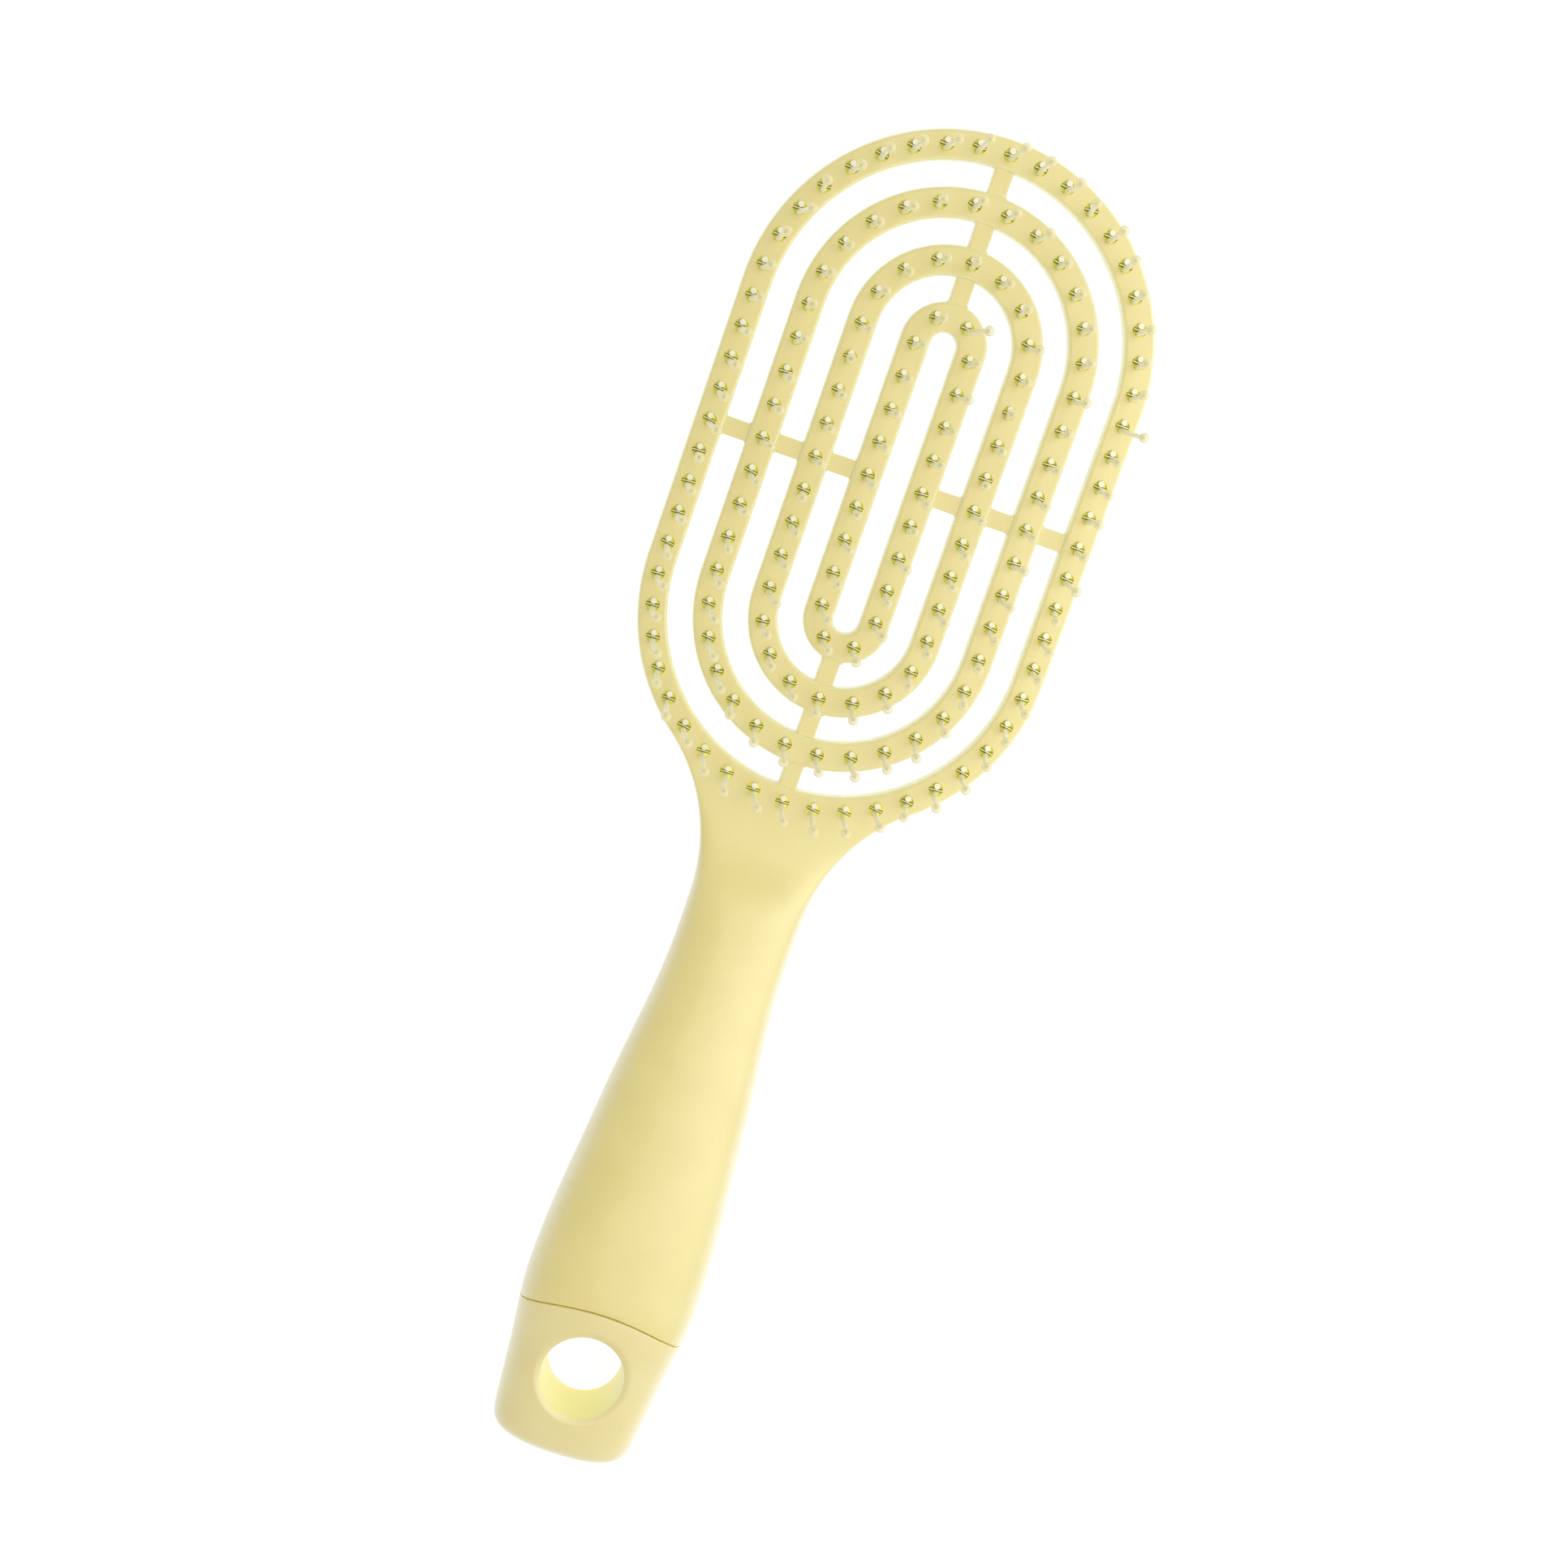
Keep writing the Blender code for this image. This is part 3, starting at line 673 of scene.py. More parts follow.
def cap_row(turn):
    """Right half of a row round the cap's outline, from the parting line to the end's middle."""
    top = PARTING_Y - PARTING_GAP
    share = outline_inset(GRIP_SQUARENESS, turn)
    row = []
    for centre_y in spread(top, END_ZONE_Y, CAP_SIDE_POINTS):
        arch = smooth_step((centre_y - END_ZONE_Y) / (top - END_ZONE_Y))
        row.append(arched_point(centre_y, share, arch))
    return row + [end_point(turn, angle) for angle in spread(0.0, math.pi / 2, CAP_END_POINTS)[1:]]


def cap_plan():
    """Plan of the end cap."""
    plan = Plan()
    rows = EDGE_TURNS[:CAP_ROWS]
    for turn in rows:
        plan.add_line(mirrored(cap_row(turn)))
    for turn in EDGE_TURNS[CAP_ROWS:-1]:
        row = [end_point(turn, angle) for angle in spread(0.0, math.pi / 2, CAP_CROWN_POINTS)]
        plan.add_line(mirrored([point for point in row if point[1] < HOLE_CLEAR_Y]))
    for share in PARTING_LIP_SHARES:
        plan.add_line(parting_line(-PARTING_LIP * share - PARTING_GAP, rows))
    for turn in COARSE_TURNS:
        rim = circle((0, 0), HANG_HOLE_RADIUS + HANG_HOLE_EDGE * (1 - math.cos(turn)), HANG_HOLE_SIDES)
        plan.add_line([(x, HOLE_Y + y * HANG_HOLE_STRETCH) for x, y in rim], True)
    low = (-BELLY_HALF_WIDTH, END_Y + GRID_STEP)
    plan.fill(inside_cap, low, (BELLY_HALF_WIDTH, PARTING_Y - PARTING_GAP))
    return plan


# Solids from plans

def side_material(near, far):
    """Material number of an upright side face between two plan points."""
    middle = (near + far) / 2
    if abs(middle.y - parting_y(middle.x)) < 1.5 * PARTING_GAP:
        return SEAM
    return RECESS if hole_reach(middle.x, middle.y) < HANG_HOLE_RADIUS + PARTING_LIP else PLAIN


def border(faces):
    """Edges with a face on one side only, in the direction of that face."""
    edges = dict.fromkeys(edge for face in faces for edge in zip(face, face[1:] + face[:1]))
    return [(near, far) for near, far in edges if (far, near) not in edges]


def add_tube(shape, loops):
    """Faces between loops of corners that follow each other, row by row."""
    faces = []
    for near, far in zip(loops, loops[1:]):
        for i in range(len(near)):
            after = (i + 1) % len(near)
            faces.append(shape.faces.new((near[i], near[after], far[after], far[i])))
    return faces


def add_closed_tube(shape, loops):
    """A tube with a face at each end."""
    add_tube(shape, loops)
    shape.faces.new(loops[0])
    shape.faces.new(loops[-1])


def raised_corners(shape, corners, faces, heights, pit_of):
    """Top and bottom of each corner in use, which are one where the body has no thickness."""
    tops, bottoms = {}, {}
    for corner in sorted({corner for face in faces for corner in face}):
        point = corners[corner]
        top, bottom = heights(point.x, point.y)
        if corner in pit_of:
            top -= PIT_FLARE
        tops[corner] = shape.verts.new((point.x, point.y, top))
        same = top - bottom < NO_THICKNESS
        bottoms[corner] = tops[corner] if same else shape.verts.new((point.x, point.y, bottom))
    return tops, bottoms


def lift(shape, plan, inside, heights, pits=()):
    """Raise a plan into a closed body between its two heights, with round blind pits in its top."""
    pit_loops = []
    for pit in pits:
        plan.add_line(circle(pit, PIT_RADIUS + PIT_FLARE, PIT_SIDES), True)
        pit_loops.append(plan.add_line(circle(pit, PIT_RADIUS, PIT_SIDES), True))
    corners, faces, corner_of = plan.net(inside)
    pit_of = {corner_of[point]: pit for pit, loop in enumerate(pit_loops) for point in loop}
    tops, bottoms = raised_corners(shape, corners, faces, heights, pit_of)
    faces = [face for face in faces if any(tops[corner] is not bottoms[corner] for corner in face)]
    for face in faces:
        touched = {pit_of.get(corner) for corner in face}
        if len(touched) > 1 or touched == {None}:
            top_face = shape.faces.new([tops[corner] for corner in face])
            top_face.material_index = PLAIN if touched == {None} else RECESS
        shape.faces.new([bottoms[corner] for corner in reversed(face)])
    for near, far in border(faces):
        loop = [tops[near], bottoms[near], bottoms[far], tops[far]]
        distinct = [vert for i, vert in enumerate(loop) if vert not in loop[:i]]
        if len(distinct) > 2:
            side = shape.faces.new(distinct)
            side.material_index = side_material(corners[near], corners[far])
    for loop in pit_loops:
        rim = [tops[corner_of[point]] for point in loop]
        floor = [shape.verts.new(vert.co - Vector((0, 0, PIT_DEPTH - PIT_FLARE))) for vert in rim]
        for face in add_tube(shape, [rim, floor]) + [shape.faces.new(floor)]:
            face.material_index = RECESS


def make_object(name, shape, smooth_angle=SMOOTH_ANGLE):
    """Finish a bmesh as an object, smooth but for its real edges."""
    bmesh.ops.recalc_face_normals(shape, faces=shape.faces)
    mesh = bpy.data.meshes.new(name)
    shape.to_mesh(mesh)
    shape.free()
    mesh.shade_smooth()
    mesh.set_sharp_from_angle(angle=math.radians(smooth_angle))
    item = bpy.data.objects.new(name, mesh)
    bpy.context.scene.collection.objects.link(item)
    return item


def apply_modifiers(item):
    """Replace an object's mesh by what its modifiers make of it."""
    graph = bpy.context.evaluated_depsgraph_get()
    mesh = bpy.data.meshes.new_from_object(item.evaluated_get(graph))
    item.modifiers.clear()
    old = item.data
    item.data = mesh
    mesh.name = item.name
    bpy.data.meshes.remove(old)


def combine(item, other, operation):
    """Join or cut an object with another, which is used up."""
    step = item.modifiers.new(operation, "BOOLEAN")
    step.operation = operation
    step.object = other
    step.solver = "EXACT"
    apply_modifiers(item)
    bpy.data.objects.remove(other, do_unlink=True)


def shade_evenly(item):
    """Keep flat areas flat in the shading, up to the object's real edges."""
    item.data.set_sharp_from_angle(angle=math.radians(SMOOTH_ANGLE))
    shading = item.modifiers.new("even_shading", "WEIGHTED_NORMAL")
    shading.keep_sharp = True
    apply_modifiers(item)


def spoke_outline(near, far):
    """Plan of a spoke between two rings' edges, with a fillet in each of its four corners."""
    half = SPOKE_WIDTH / 2
    side = [(near - SPOKE_BURY, half + SPOKE_FILLET)]
    for turn in spread(0.0, math.pi / 2, 6):
        along = near + SPOKE_FILLET * (1 - math.cos(turn))
        side.append((along, half + SPOKE_FILLET * (1 - math.sin(turn))))
    side += [(near + far - along, across) for along, across in reversed(side)]
    return side + [(along, -across) for along, across in reversed(side)]


def add_bar(shape, plan):
    """A low bar with rounded top edges over a plan outline."""
    centre = sum(plan, Vector((0, 0))) / len(plan)
    levels = [(0.0, 0.0), (SPOKE_THICKNESS - SPOKE_EDGE, 0.0)]
    for turn in spread(0.0, math.pi / 2, 5)[1:]:
        height = SPOKE_THICKNESS - SPOKE_EDGE * (1 - math.sin(turn))
        levels.append((height, SPOKE_EDGE * (1 - math.cos(turn))))
    loops = []
    for height, inset in levels:
        loop = []
        for i, point in enumerate(plan):
            along = (plan[(i + 1) % len(plan)] - plan[i - 1]).normalized()
            inward = Vector((-along.y, along.x))
            if inward.dot(centre - point) < 0:
                inward = -inward
            spot = point + inward * inset
            loop.append(shape.verts.new((spot.x, spot.y, height)))
        loops.append(loop)
    add_closed_tube(shape, loops)


def make_spokes():
    """All spokes, as separate closed bodies in one mesh."""
    shape = bmesh.new()
    for ring in range(RING_COUNT - 1):
        near = RING_RADII[ring] + RING_WIDTH / 2
        outline = spoke_outline(near, near + RING_PITCH - RING_WIDTH)
        for quarter, start_y in enumerate((MIDDLE_Y, TOP_ARC_Y, MIDDLE_Y, BOTTOM_ARC_Y)):
            turn = Matrix.Rotation(math.pi / 2 * quarter, 2)
            add_bar(shape, [turn @ Vector(point) + Vector((0, start_y)) for point in outline])
    return make_object("spokes", shape)


def cornered(value):
    """A sine or cosine, drawn towards the corners of the handle's section."""
    return math.copysign(abs(value) ** (2 / GRIP_SQUARENESS), value)


def inner_section(y, inset):
    """The cavity's or plug's outline at one place along the handle."""
    half = half_width(y) - HANDLE_WALL - inset
    low = underside_height(y) + HANDLE_WALL + inset
    high = top_height(y) - HANDLE_WALL - inset
    section = []
    for i in range(INNER_SECTION_SIDES):
        turn = 2 * math.pi * i / INNER_SECTION_SIDES
        z = (low + high) / 2 + (high - low) / 2 * cornered(math.sin(turn))
        section.append((half * cornered(math.cos(turn)), y, z))
    return section


def inner_body(name, start, end, inset):
    """A closed body with the cavity's or plug's outline."""
    shape = bmesh.new()
    sections = [inner_section(y, inset) for y in spread(start, end, INNER_SECTIONS)]
    add_closed_tube(shape, [[shape.verts.new(point) for point in section] for section in sections])
    return make_object(name, shape)


def make_frame():
    """Outer ring, neck, handle, inner rings and spokes as one moulding."""
    shape = bmesh.new()
    lift(shape, frame_plan(), inside_frame, frame_heights, tuft_places(RING_COUNT - 1))
    for ring in range(RING_COUNT - 1):
        def inside_ring(x, y, middle=RING_RADII[ring]):
            return abs(head_reach(x, y) - middle) < RING_WIDTH / 2

        lift(shape, ring_plan(ring), inside_ring, ring_heights, tuft_places(ring))
    item = make_object("frame_moulding", shape)
    combine(item, make_spokes(), "UNION")
    start = PARTING_Y - PARTING_ARCH - CAP_LENGTH / 4
    combine(item, inner_body("cavity", start, PARTING_Y + CAVITY_LENGTH, 0.0), "DIFFERENCE")
    shade_evenly(item)
    return item


def narrow_hole(shape):
    """Draw the hanging hole together at its lower end."""
    for vert in shape.verts:
        reach = hole_reach(vert.co.x, vert.co.y)
        if reach < HANG_HOLE_RADIUS * HANG_HOLE_RIM_SHARE and vert.co.z < END_TOP / 2:
            vert.co.x *= 1 - HANG_HOLE_DRAFT_SHARE
            vert.co.y = HOLE_Y + (vert.co.y - HOLE_Y) * (1 - HANG_HOLE_DRAFT_SHARE)


def make_cap():
    """The end cap with its hanging hole and plug."""
    shape = bmesh.new()
    lift(shape, cap_plan(), inside_cap, cap_heights)
    narrow_hole(shape)
    item = make_object("cap_moulding", shape)
    start = PARTING_Y - PARTING_ARCH
    combine(item, inner_body("plug", start, PARTING_Y + PLUG_LENGTH, PLUG_CLEARANCE), "UNION")
    shade_evenly(item)
    return item


# Bristles and staples

def sweep(shape, rows, materials):
    """A round closed tube through rows of (point, radius), with the material number of each row."""
    points = [point for point, _ in rows]
    last = len(points) - 1
    ways = [(points[min(i + 1, last)] - points[max(i - 1, 0)]).normalized() for i in range(last + 1)]
    turns = [2 * math.pi * i / LEG_SIDES for i in range(LEG_SIDES)]
    across = ways[0].orthogonal().normalized()
    loops = []
    for (point, radius), way in zip(rows, ways):
        across = (across - way * across.dot(way)).normalized()
        up = way.cross(across)
        rays = [across * math.cos(turn) + up * math.sin(turn) for turn in turns]
        loops.append([shape.verts.new(point + ray * radius) for ray in rays])
    for number, face in enumerate(add_tube(shape, loops)):
        face.material_index = materials[number // LEG_SIDES]
    shape.faces.new(loops[0]).material_index = materials[0]
    shape.faces.new(loops[-1]).material_index = materials[-1]


def short_leg_rows(root, draw):
    """The cut leg, from its flared end down into the pit."""
    top = root + TO_SHORT_LEG + Vector((SHORT_LEG_SHIFT * draw.uniform(-1, 1), 0, RING_THICKNESS))
    top.z += SHORT_LEG_HEIGHT * draw.uniform(*SHORT_LEG_HEIGHT_SHARES)
    points = [top - Vector((0, 0, drop)) for drop in SHORT_LEG_DROPS]
    low = Vector((0, 0, RING_THICKNESS - ROOT_DEPTH))
    points.append(root + TO_SHORT_LEG * ROOT_OFFSET_SHARE + low)
    flares = (SHORT_LEG_FLARE * 0.5, SHORT_LEG_FLARE, 0.0, 0.0)
    return [(point, LEG_RADIUS + flare) for point, flare in zip(points, flares)]


def fold_rows(root):
    """The fold in the pit, from the cut leg to the long one."""
    rows = []
    for turn in spread(0.0, math.pi, FOLD_ROWS):
        drop = LEG_OFFSET * FOLD_DROP_SHARE * math.sin(turn)
        low = Vector((0, 0, RING_THICKNESS - FOLD_DEPTH - drop))
        point = root + TO_SHORT_LEG * FOLD_OFFSET_SHARE * math.cos(turn) + low
        rows.append((point, LEG_RADIUS * FOLD_RADIUS_SHARE))
    return rows


def long_leg_rows(root, ball, draw):
    """The long leg, slightly bowed and thinner towards the neck of its ball."""
    start = root - TO_SHORT_LEG + Vector((0, 0, RING_THICKNESS))
    low = Vector((0, 0, RING_THICKNESS - ROOT_DEPTH))
    rows = [(root - TO_SHORT_LEG * ROOT_OFFSET_SHARE + low, LEG_RADIUS)]
    bow = Vector((draw.uniform(-1, 1), draw.uniform(-1, 1), 0)) * LONG_LEG_BOW
    for share in spread(0.0, 1.0, LONG_LEG_ROWS)[:-1]:
        point = start + (ball - start) * share + bow * math.sin(math.pi * share)
        rows.append((point, LEG_RADIUS + (LEG_TIP_RADIUS - LEG_RADIUS) * smooth_step(share)))
    return rows


def ball_rows(ball, way):
    """The ball, from its neck to its crown."""
    neck_turn = math.pi - math.asin(LEG_TIP_RADIUS / BALL_RADIUS) * BALL_OVERLAP_SHARE
    turns = spread(neck_turn, BALL_CROWN_TURN, BALL_ROWS)
    return [(ball + way * (BALL_RADIUS * math.cos(turn)), BALL_RADIUS * math.sin(turn)) for turn in turns]


def add_bristle(shape, root, ball, draw):
    """A folded filament: cut short leg, fold in the pit, long leg and ball."""
    rows = short_leg_rows(root, draw) + fold_rows(root) + long_leg_rows(root, ball, draw)
    point, radius = rows[-1]
    way = (ball - point).normalized()
    rows[-1] = (ball - way * (BALL_RADIUS * BALL_NECK_SHARE), radius)
    materials = [CUT_END] * 2 + [LEG] * (len(rows) - 3) + [BALL] * (BALL_ROWS + 1)
    sweep(shape, rows + ball_rows(ball, way), materials)


def add_staple(shape, root, turn):
    """A flat wire anchor on edge across a pit, with a bright top between two flanks painted dark as painted
    shade.
    """
    high = RING_THICKNESS + STAPLE_RISE
    flank = [
        (-STAPLE_WIDTH / 2, high - STAPLE_DEPTH),
        (-STAPLE_WIDTH / 2, high - STAPLE_SHOULDER),
        (-STAPLE_TOP_WIDTH / 2, high),
    ]
    profile = flank + [(-y, z) for y, z in reversed(flank)]
    half = STAPLE_LENGTH / 2
    straight = half * STAPLE_STRAIGHT_SHARE
    spin = Matrix.Rotation(turn, 3, "Z")
    loops = []
    for along in (-half, -straight, straight, half):
        at_end = abs(along) == half
        squeeze = STAPLE_END_WIDTH_SHARE if at_end else 1.0
        dip = STAPLE_END_DIP if at_end else 0.0
        points = [Vector((along, y * squeeze, z - dip)) for y, z in profile]
        loops.append([shape.verts.new(root + spin @ point) for point in points])
    # The top takes the bright wire, and the flanks and both ends take the wire painted dark as painted shade
    for number, face in enumerate(add_tube(shape, loops)):
        face.material_index = BRIGHT if number % len(profile) == len(flank) - 1 else STAPLE_PAINTED_SHADE
    for loop in (loops[0], loops[-1]):
        shape.faces.new(loop).material_index = STAPLE_PAINTED_SHADE


def ring_tuft_groups(ring):
    """Tuft numbers of each bristle node of a ring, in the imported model's order."""
    counts = (ARC_TUFTS[ring] + (SIDE_TUFTS,)) * 2
    total = sum(counts)
    first = round(-sum(ARC_TUFTS[ring]) / 2 + 0.5 - FIRST_TUFT_SHARES[ring])
    groups = []
    for count in counts:
        groups.append([number % total for number in range(first, first + count)])
        first += count
    return groups


def ball_place(ring, tuft, root, draw):
    """Middle of a tuft's ball, over its root but for a lean inwards and some scatter."""
    lean = -root.x / RING_RADII[-1] * OUTER_LEAN_SHARE * BALL_HEIGHT
    ball = root + Vector((lean, -LEG_OFFSET, RING_THICKNESS + BALL_HEIGHT))
    ball.x += max(min(draw.gauss(0, LEAN_SPREAD), LEAN_SPREAD * 2), -LEAN_SPREAD * 2)
    along = draw.gauss(0, LEAN_SPREAD * LENGTHWISE_SPREAD_SHARE)
    ball.y += max(min(along, LEAN_SPREAD), -LEAN_SPREAD)
    ball.z -= HEIGHT_SPREAD * draw.random()
    return ball + BENT_BALLS.get((RING_NAMES[ring], tuft), Vector((0, 0, 0)))


def make_bristles(ring, draw):
    """One piece for each bristle node of a ring, and the ring's staples."""
    places = tuft_places(ring)
    pieces = []
    for number, group in enumerate(ring_tuft_groups(ring)):
        shape = bmesh.new()
        for tuft in group:
            root = places[tuft]
            add_bristle(shape, root, ball_place(ring, tuft, root, draw), draw)
        ending = f"{RING_NAMES[ring]}_{number + 1:02d}"
        piece = make_object(f"filaments_{ending}", shape, BRISTLE_SMOOTH_ANGLE)
        pieces.append((piece, f"bristles_{ending}"))
    shape = bmesh.new()
    for root in places:
        add_staple(shape, root, math.radians(draw.uniform(*STAPLE_TURNS)))
    return pieces, make_object(f"staples_{RING_NAMES[ring]}", shape, STAPLE_SMOOTH_ANGLE)


# Materials

def new_material(name):
    """A material with its node tree and main shader."""
    material = bpy.data.materials.new(name)
    material.use_nodes = True
    return material, material.node_tree, material.node_tree.nodes["Principled BSDF"]


def set_values(node, values):
    """Set inputs of a node."""
    for socket, value in values.items():
        node.inputs[socket].default_value = value


def add_node(tree, kind, values, sources):
    """A node with values on some of its inputs and links to others."""
    node = tree.nodes.new(kind)
    set_values(node, values)
    for socket, source in sources.items():
        tree.links.new(source, node.inputs[socket])
    return node


def noise(tree, scale, detail, source):
    """Noise over the object's own coordinates."""
    values = {"Scale": scale, "Detail": detail}
    return add_node(tree, "ShaderNodeTexNoise", values, {"Vector": source}).outputs["Fac"]


def ramp(tree, factor, colours):
    """A colour between two colours."""
    node = add_node(tree, "ShaderNodeValToRGB", {}, {"Fac": factor})
    for element, position, colour in zip(node.color_ramp.elements, (0.3, 0.7), colours):
        element.position = position
        element.color = (*colour, 1)
    return node.outputs["Color"]


def scaled(tree, factor, low, high):
    """A number between two numbers."""
    values = {"To Min": low, "To Max": high}
    return add_node(tree, "ShaderNodeMapRange", values, {"Value": factor}).outputs["Result"]


def bump(tree, shader, height, strength, distance):
    """Fine relief on a shader."""
    values = {"Strength": strength, "Distance": distance}
    node = add_node(tree, "ShaderNodeBump", values, {"Height": height})
    tree.links.new(node.outputs["Normal"], shader.inputs["Normal"])


def change_share(tree, value, start, end):
    """0 up to the start and 1 from the end on, with a smooth change between them."""
    node = add_node(tree, "ShaderNodeMapRange", {"From Min": start, "From Max": end}, {"Value": value})
    node.interpolation_type = "SMOOTHSTEP"
    return node.outputs["Result"]


def steepness(tree, slopes):
    """0 where a surface lies nearly level and 1 where it stands nearly upright."""
    normal = tree.nodes.new("ShaderNodeNewGeometry").outputs["Normal"]
    parts = add_node(tree, "ShaderNodeSeparateXYZ", {}, {0: normal})
    level = add_node(tree, "ShaderNodeMath", {}, {0: parts.outputs["Z"]})
    level.operation = "ABSOLUTE"
    return change_share(tree, level.outputs[0], *slopes)


def head_share(tree, place):
    """0 on the handle and 1 on the head, with a soft change over the neck."""
    parts = add_node(tree, "ShaderNodeSeparateXYZ", {}, {0: place})
    return change_share(tree, parts.outputs["Y"], TANGENT_Y - NECK_RISE, TANGENT_Y)


def blended(tree, factor, first, second):
    """One colour where the factor is 0 and another where it is 1."""
    node = tree.nodes.new("ShaderNodeMix")
    node.data_type = "RGBA"
    # The colours' sockets go by number, because others share their names
    tree.links.new(factor, node.inputs[0])
    tree.links.new(first, node.inputs[6])
    tree.links.new(second, node.inputs[7])
    return node.outputs[2]


def plain(tree, colour):
    """One colour as a node."""
    node = tree.nodes.new("ShaderNodeRGB")
    node.outputs[0].default_value = (*colour, 1)
    return node.outputs[0]


def soft_plastic(name, colours, handle_wall_glow, head_wall_glow, rough, sheen):
    """Satin soft-touch plastic with a faint mottle, a very fine grain and upright walls painted paler as
    painted glow.
    """
    material, tree, shader = new_material(name)
    place = tree.nodes.new("ShaderNodeTexCoord").outputs["Object"]
    mottle = ramp(tree, noise(tree, 90, 3, place), colours)
    # Painted glow: slopes and upright walls blend into paler colours, standing for the light of the white
    # table on them
    handle = blended(tree, steepness(tree, HANDLE_PAINTED_GLOW_SLOPES), mottle, plain(tree, handle_wall_glow))
    head = blended(tree, steepness(tree, HEAD_PAINTED_GLOW_SLOPES), mottle, plain(tree, head_wall_glow))
    tree.links.new(blended(tree, head_share(tree, place), handle, head), shader.inputs["Base Color"])
    grain = noise(tree, 2600, 2, place)
    tree.links.new(scaled(tree, grain, rough - 0.05, rough + 0.07), shader.inputs["Roughness"])
    bump(tree, shader, grain, 0.10, 0.04 * MM)
    coat = {"Coat Weight": 1.0 if sheen else 0.0, "Coat Roughness": 0.40, "Coat IOR": 2.0}
    haze = {"Sheen Weight": sheen, "Sheen Roughness": 0.35, "Sheen Tint": (1.0, 0.98, 0.90, 1)}
    set_values(shader, {**coat, **haze})
    return material


def nylon(name, colour, cover, rim_cover, sheen):
    """Translucent nylon, through which what lies behind shows, less so at its glassy rim."""
    material, tree, shader = new_material(name)
    place = tree.nodes.new("ShaderNodeTexCoord").outputs["Object"]
    cloud = noise(tree, 700, 2, place)
    faint = tuple(channel * 0.96 for channel in colour)
    tree.links.new(ramp(tree, cloud, (faint, colour)), shader.inputs["Base Color"])
    tree.links.new(scaled(tree, cloud, 0.16, 0.30), shader.inputs["Roughness"])
    rim = add_node(tree, "ShaderNodeLayerWeight", {"Blend": 0.6}, {})
    tree.links.new(scaled(tree, rim.outputs["Facing"], cover, rim_cover), shader.inputs["Alpha"])
    set_values(shader, {"IOR": 1.5, "Sheen Weight": sheen, "Sheen Roughness": 0.3})
    return material


def steel(name, colours, rough):
    """Drawn steel wire with fine lines along it."""
    material, tree, shader = new_material(name)
    place = tree.nodes.new("ShaderNodeTexCoord").outputs["Object"]
    stretch = add_node(tree, "ShaderNodeMapping", {"Scale": (0.15, 4, 4)}, {"Vector": place})
    lines = noise(tree, 3000, 2, stretch.outputs["Vector"])
    tree.links.new(ramp(tree, lines, colours), shader.inputs["Base Color"])
    tree.links.new(scaled(tree, lines, rough - 0.06, rough + 0.08), shader.inputs["Roughness"])
    shader.inputs["Metallic"].default_value = 1.0
    return material


def dress(item, slot, nodes, *materials):
    """Give a piece its materials and body, and hide the nodes that it stands for. The slot is not used."""
    kept = [face.material_index for face in item.data.polygons]
    item.data.materials.clear()
    for material in materials:
        item.data.materials.append(material)
    for face, index in zip(item.data.polygons, kept):
        face.material_index = min(index, len(materials) - 1)
    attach(item, "root")
    if nodes:
        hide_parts(*nodes)


# Stage, lights and camera

def larger(tree, first, second):
    """The larger of two numbers."""
    node = add_node(tree, "ShaderNodeMath", {}, {0: first, 1: second})
    node.operation = "MAXIMUM"
    return node.outputs[0]


def seen_or_unseen(tree, unseen, seen):
    """One shader for what the camera sees, directly, mirrored or through something, another for the rest."""
    path = tree.nodes.new("ShaderNodeLightPath").outputs
    share = larger(tree, path["Is Camera Ray"], path["Is Glossy Ray"])
    share = larger(tree, share, path["Is Transmission Ray"])
    return add_node(tree, "ShaderNodeMixShader", {}, {0: share, 1: unseen, 2: seen}).outputs[0]


def glowing_paper(tree, grey, level):
    """Matt grey with a white glow of its own."""
    matt = add_node(tree, "ShaderNodeBsdfDiffuse", {"Color": (grey, grey, grey, 1)}, {}).outputs[0]
    glow = add_node(tree, "ShaderNodeEmission", {"Strength": level}, {}).outputs[0]
    return add_node(tree, "ShaderNodeAddShader", {}, {0: matt, 1: glow}).outputs[0]


def make_floor():
    """A pale floor that looks white to the camera and keeps the brush's soft shadow."""
    shape = bmesh.new()
    bmesh.ops.create_grid(shape, x_segments=8, y_segments=8, size=TABLE_HALF_SIZE)
    floor = make_object("floor", shape)
    floor.location.z = -TABLE_DROP
    material, tree, shader = new_material("floor_paper")
    tree.nodes.remove(shader)
    unseen = glowing_paper(tree, TABLE_GREY, TABLE_GLOW)
    seen = glowing_paper(tree, SEEN_TABLE_GREY, SEEN_TABLE_GLOW)
    surface = tree.nodes["Material Output"].inputs["Surface"]
    tree.links.new(seen_or_unseen(tree, unseen, seen), surface)
    floor.data.materials.append(material)


def white_light(tree, level):
    """White light of one strength from all round."""
    values = {"Color": (1, 1, 1, 1), "Strength": level}
    return add_node(tree, "ShaderNodeBackground", values, {}).outputs[0]


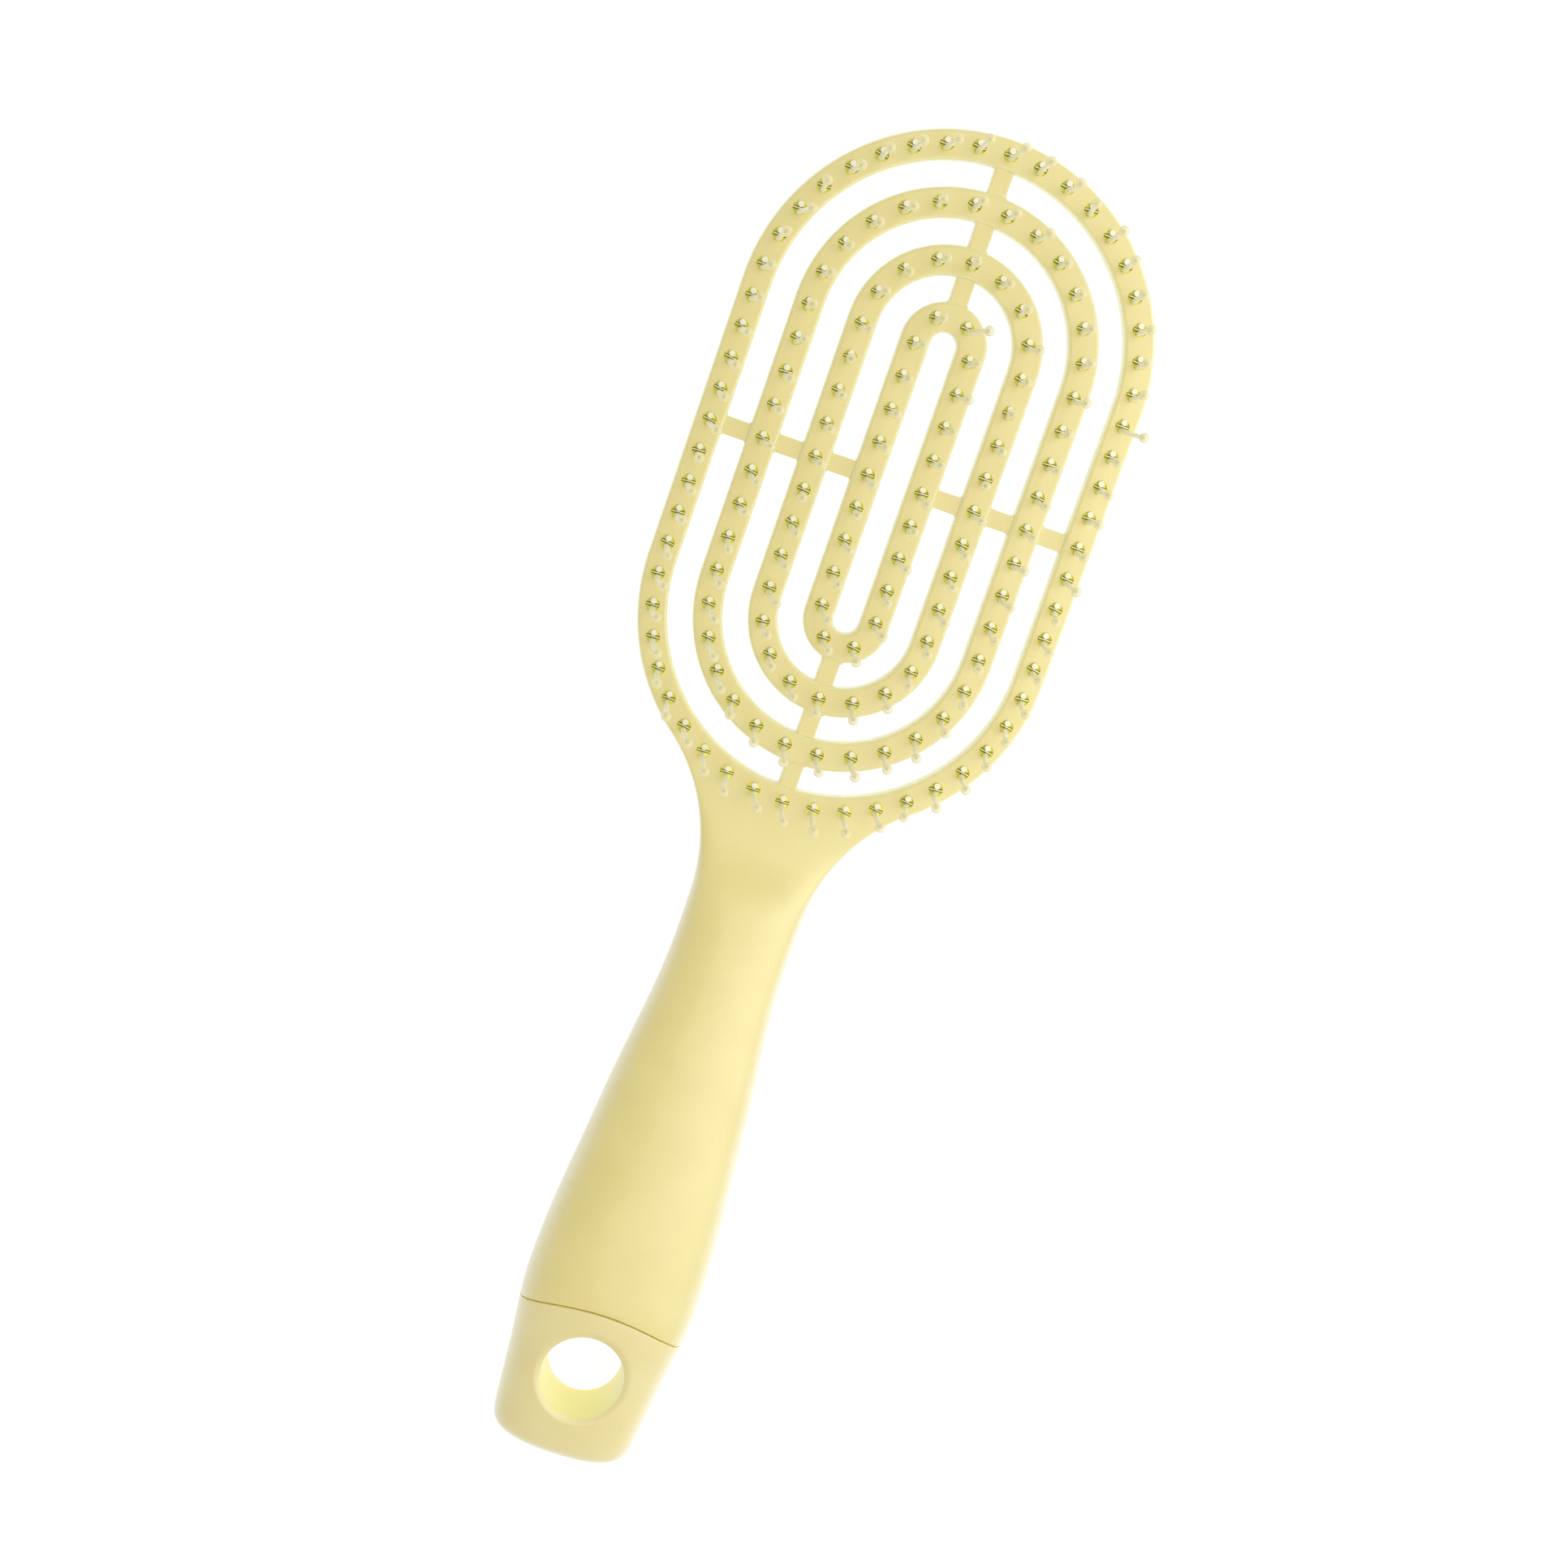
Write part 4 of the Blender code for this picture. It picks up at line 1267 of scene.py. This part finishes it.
def make_world():
    """A white room: plain ambient light, and pure white where the camera sees it."""
    world = bpy.data.worlds.new("white_room")
    world.use_nodes = True
    tree = world.node_tree
    tree.nodes.clear()
    room = seen_or_unseen(tree, white_light(tree, ROOM_LEVEL), white_light(tree, SEEN_ROOM_LEVEL))
    add_node(tree, "ShaderNodeOutputWorld", {}, {"Surface": room})
    bpy.context.scene.world = world


def add_softbox(name, place, target, length, width, power):
    """A soft light that faces a point, with its length along the brush."""
    light = bpy.data.lights.new(name, "AREA")
    light.shape = "RECTANGLE"
    light.size = length
    light.size_y = width
    light.energy = power
    lamp = bpy.data.objects.new(name, light)
    bpy.context.scene.collection.objects.link(lamp)
    lamp.location = place
    lamp.rotation_euler = (Vector(target) - Vector(place)).to_track_quat("-Z", "Y").to_euler()


def make_camera():
    """The photograph's camera, over the head and leaning towards the handle."""
    camera = bpy.data.cameras.new("photo_camera")
    camera.sensor_width = SENSOR_WIDTH
    camera.lens = CAMERA_LENS
    camera.clip_start = CAMERA_NEAR
    item = bpy.data.objects.new("photo_camera", camera)
    bpy.context.scene.collection.objects.link(item)
    pose = Matrix.Translation(CAMERA_PLACE)
    for axis, degrees in CAMERA_TURNS:
        pose = pose @ Matrix.Rotation(math.radians(degrees), 4, axis)
    item.matrix_world = pose
    bpy.context.scene.camera = item


def main():
    """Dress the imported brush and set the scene."""
    plastics = [soft_plastic(name, *look) for name, look in PLASTICS.items()]
    # The pits, the hanging hole's wall and the parting gap take plastics painted brighter as painted light
    frame_look, cap_look, hole_painted_light, pit_painted_light, seam_painted_light = plastics
    dress(make_frame(), "frame_plastic", ["brush_frame"], frame_look, seam_painted_light, pit_painted_light)
    dress(make_cap(), "cap_plastic", ["end_cap"], cap_look, seam_painted_light, hole_painted_light)
    nylons = [nylon(name, *look) for name, look in NYLONS.items()]
    wires = [steel(name, *look) for name, look in WIRES.items()]
    draw = random.Random(DRAW_SEED)
    for ring in range(RING_COUNT):
        pieces, staples = make_bristles(ring, draw)
        for piece, node in pieces:
            dress(piece, "bristle_nylon", [node], *nylons)
        dress(staples, "staple_wire", [], *wires)
    make_floor()
    make_world()
    for name, values in SOFTBOXES.items():
        add_softbox(name, *values)
    make_camera()
    bpy.context.scene.view_settings.view_transform = "Standard"


main()
